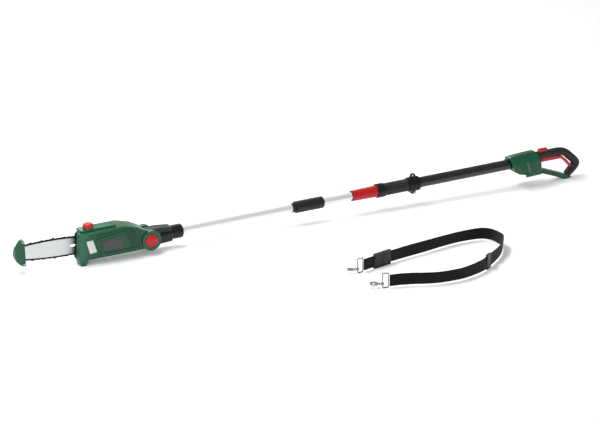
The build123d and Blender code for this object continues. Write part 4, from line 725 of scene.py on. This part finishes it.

# %% [markdown]
# Each side of the handle housing has a raised wing, split by a slanted facet in paler green, which is
# painted highlight. The wing is one plate in steps; the facet is a narrow wedge that stands further out and
# slopes back.

# %% Wings of the handle
wing = [(housing + 16, 7), (housing + 104, 7.5), (housing + 119, -38), (housing + 74, -38),
        (housing + 66, -32), (housing + 42, -29), (housing + 24, -20)]
facet = [(housing + 60, 6.6), (housing + 73, 6.8), (housing + 84, -31), (housing + 74, -33)]
thin_line = [(housing + 31, 5), (housing + 33, 5), (housing + 41, -20), (housing + 39, -20.5)]
for side, label_side in ((-1, "near"), (1, "far")):
    y = side * 30.0
    side_plate(f"handle_wing_{label_side}", [
        (cornered(wing, 5), y - side * 1.0),
        (cornered(moved_in(wing, [0.8] * 7), 5), y + side * 1.6),
        (cornered(moved_in(wing, [2.4] * 7), 4), y + side * 3.4),
        (cornered(moved_in(wing, [4.2] * 7), 3.5), y + side * 4.0),
    ], "handle", green)
    # The facet's paler green is painted highlight, standing for light caught by its slope.
    side_plate(f"handle_facet_painted_highlight_{label_side}", [
        (cornered(facet, 1), y + side * 3.0),
        (cornered(moved_in(facet, [0.5, 8.5, 0.5, 0.5]), 0.8), y + side * 7.6),
        (cornered(moved_in(facet, [0.7, 9.0, 0.7, 0.7]), 0.6), y + side * 7.8),
    ], "handle", pale_green_and_highlight)
    side_plate(f"handle_line_{label_side}", [
        (cornered(thin_line, 0.4, 3), y + side * 3.6),
        (cornered(thin_line, 0.4, 3), y + side * 4.8),
    ], "handle", pale_green_and_highlight)
print("handle wings 2")

# %% [markdown]
# The front grip is a rubber sleeve with rows of low rings. It is turned, with a small step
# where it meets the clamp and the strap ring, so it reads as a sleeve pulled over the tube.

# %% Front grip
grip_low, grip_high = 870.4, 960.6
rings_on_grip = 13
sleeve_profile = [(18.2, 0.0), (20.6, 0.0), (21.2, 1.2), (21.2, 4.0)]
ring_step = (grip_high - grip_low - 9.0) / rings_on_grip
for k in range(rings_on_grip):
    base = 4.5 + k * ring_step
    sleeve_profile += [(20.6, base + 0.3), (20.6, base + 1.4), (21.3, base + 2.2),
                       (21.3, base + ring_step - 1.0), (20.6, base + ring_step - 0.2)]
length = grip_high - grip_low
sleeve_profile += [(21.2, length - 4.0), (21.2, length - 1.2), (20.6, length), (18.2, length)]
sleeve = turned("front_grip_sleeve", sleeve_profile, on_pole(grip_low, 0, 0), along, "handle", soft_grey,
                steps=96)
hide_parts("front_grip")
print("grip rings", rings_on_grip)

# %% [markdown]
# The strap is one length of webbing standing on its edge. It follows a smooth route on the
# floor, and its edges lean and wander by a few millimetres, as stiff new webbing does.
# Its width and length give it coordinates for the weave, so the threads follow its bends.

# %% Webbing along a route
webbing_wide = 38.0
webbing_thick = 1.7
webbing_low = 5.0
strap_route = [(868, -459), (938, -444), (1010, -431), (1080, -417), (1150, -407), (1205, -406),
               (1240, -413), (1259, -436), (1264, -470), (1259, -505), (1226, -553), (1190, -588),
               (1150, -619), (1118, -642), (1087, -663), (1042, -682), (995, -695), (950, -697),
               (905, -692), (868, -680), (835, -665), (795, -652), (759, -645.8)]


def smooth_route(points, steps=10):
    """Dense floor route through points in millimetres."""
    return [Vector(p) for p in curve_through(points, steps)]


def webbing_strip(name, route, body, lean=2.0, thick=webbing_thick):
    """Webbing on its edge, with length and width as its texture coordinates."""
    builder = bmesh.new()
    layer = builder.loops.layers.uv.new("length and width")
    travelled = [0.0]
    for a, b in zip(route, route[1:]):
        travelled.append(travelled[-1] + (b - a).length)
    total = travelled[-1]
    rows = []
    heights = [0.0, 0.03, 0.12, 0.3, 0.5, 0.7, 0.88, 0.97, 1.0]
    for i, point in enumerate(route):
        before, after = route[max(0, i - 1)], route[min(len(route) - 1, i + 1)]
        run = (after - before).normalized()
        side = Vector((-run.y, run.x))
        t = travelled[i] / total
        calm = min(1.0, 6 * t, 6 * (1 - t))
        tilt = calm * lean * sin(5.1 * t * pi + 0.6)
        row = []
        for face in (1, -1):
            for h in heights if face > 0 else heights[::-1]:
                edge = min(1.0, 8 * min(h, 1 - h) + 0.35)
                offset = side * (face * thick / 2 * edge + tilt * (h - 0.5) * 2)
                row.append(builder.verts.new(Vector((point.x + offset.x, point.y + offset.y,
                                                     webbing_low + h * webbing_wide)) * MM))
        rows.append(row)
    count = len(rows[0])
    shares = heights + heights[::-1]
    for i in range(len(rows) - 1):
        for k in range(count):
            j = (k + 1) % count
            quad = builder.faces.new((rows[i][k], rows[i][j], rows[i + 1][j], rows[i + 1][k]))
            places = ((i, k), (i, j), (i + 1, j), (i + 1, k))
            for loop, (row, column) in zip(quad.loops, places):
                loop[layer].uv = (travelled[row] / 1000, shares[column])
    builder.faces.new(rows[0][::-1])
    builder.faces.new(rows[-1])
    piece = add_mesh(name, builder, body, webbing, smooth_angle=70)
    return piece, total


strap, strap_length = webbing_strip("webbing_long", smooth_route(strap_route), "strap")
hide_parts("strap_webbing_long")
short_route = smooth_route([(797.6, -477.2), (776, -482.8), (756, -488.0)])
short_strap, short_length = webbing_strip("webbing_short", short_route, "strap_front", lean=0.0)
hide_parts("strap_webbing_short")
print("strap length", round(strap_length), "mm")

# %% [markdown]
# A plain studio: a pale floor that runs out of sight, a dim even sky and three soft lamps.
# The key lamp hangs above the pole, so upper faces read paler than the sides. The floor
# glows a little, which keeps its shadows light.


# %% Floor, sky and lamps
floor_mesh = bpy.data.meshes.new("floor")
floor_reach = 30.0
floor_corners = [(-floor_reach, -floor_reach, 0), (floor_reach, -floor_reach, 0),
                 (floor_reach, floor_reach, 0), (-floor_reach, floor_reach, 0)]
floor_mesh.from_pydata(floor_corners, [], [(0, 1, 2, 3)])
floor = bpy.data.objects.new("floor", floor_mesh)
bpy.context.scene.collection.objects.link(floor)
floor_finish = bpy.data.materials.new("pale floor")
floor_finish.use_nodes = True
floor_shader = floor_finish.node_tree.nodes["Principled BSDF"]
floor_shader.inputs["Base Color"].default_value = (0.97, 0.97, 0.97, 1)
floor_shader.inputs["Emission Color"].default_value = (1, 1, 1, 1)
floor_shader.inputs["Emission Strength"].default_value = 0.16
floor_shader.inputs["Roughness"].default_value = 0.9
floor_shader.inputs["Specular IOR Level"].default_value = 0.1
floor_mesh.materials.append(floor_finish)

world = bpy.data.worlds.new("studio sky")
world.use_nodes = True
world.node_tree.nodes["Background"].inputs["Color"].default_value = (1.0, 1.0, 1.0, 1)
world.node_tree.nodes["Background"].inputs["Strength"].default_value = 0.42
bpy.context.scene.world = world


def lamp(name, place, target, size, power):
    """Large soft lamp."""
    data = bpy.data.lights.new(name, "AREA")
    data.shape = "RECTANGLE"
    data.size, data.size_y = size
    data.energy = power
    item = bpy.data.objects.new(name, data)
    item.location = place
    item.rotation_mode = "QUATERNION"
    item.rotation_quaternion = (Vector(target) - Vector(place)).to_track_quat("-Z", "Y")
    bpy.context.scene.collection.objects.link(item)


lamp("key lamp", (-0.2, 0.6, 3.2), (0.8, 0, 0), (2.6, 0.8), 88)
lamp("back lamp", (1.2, 3.4, 2.4), (0.8, 0, 0), (3.6, 0.9), 48)
lamp("side lamp", (-2.4, -2.6, 2.2), (0.8, -0.2, 0), (0.7, 1.0), 26)
bpy.context.scene.view_settings.view_transform = "Standard"
print("lamps 3")
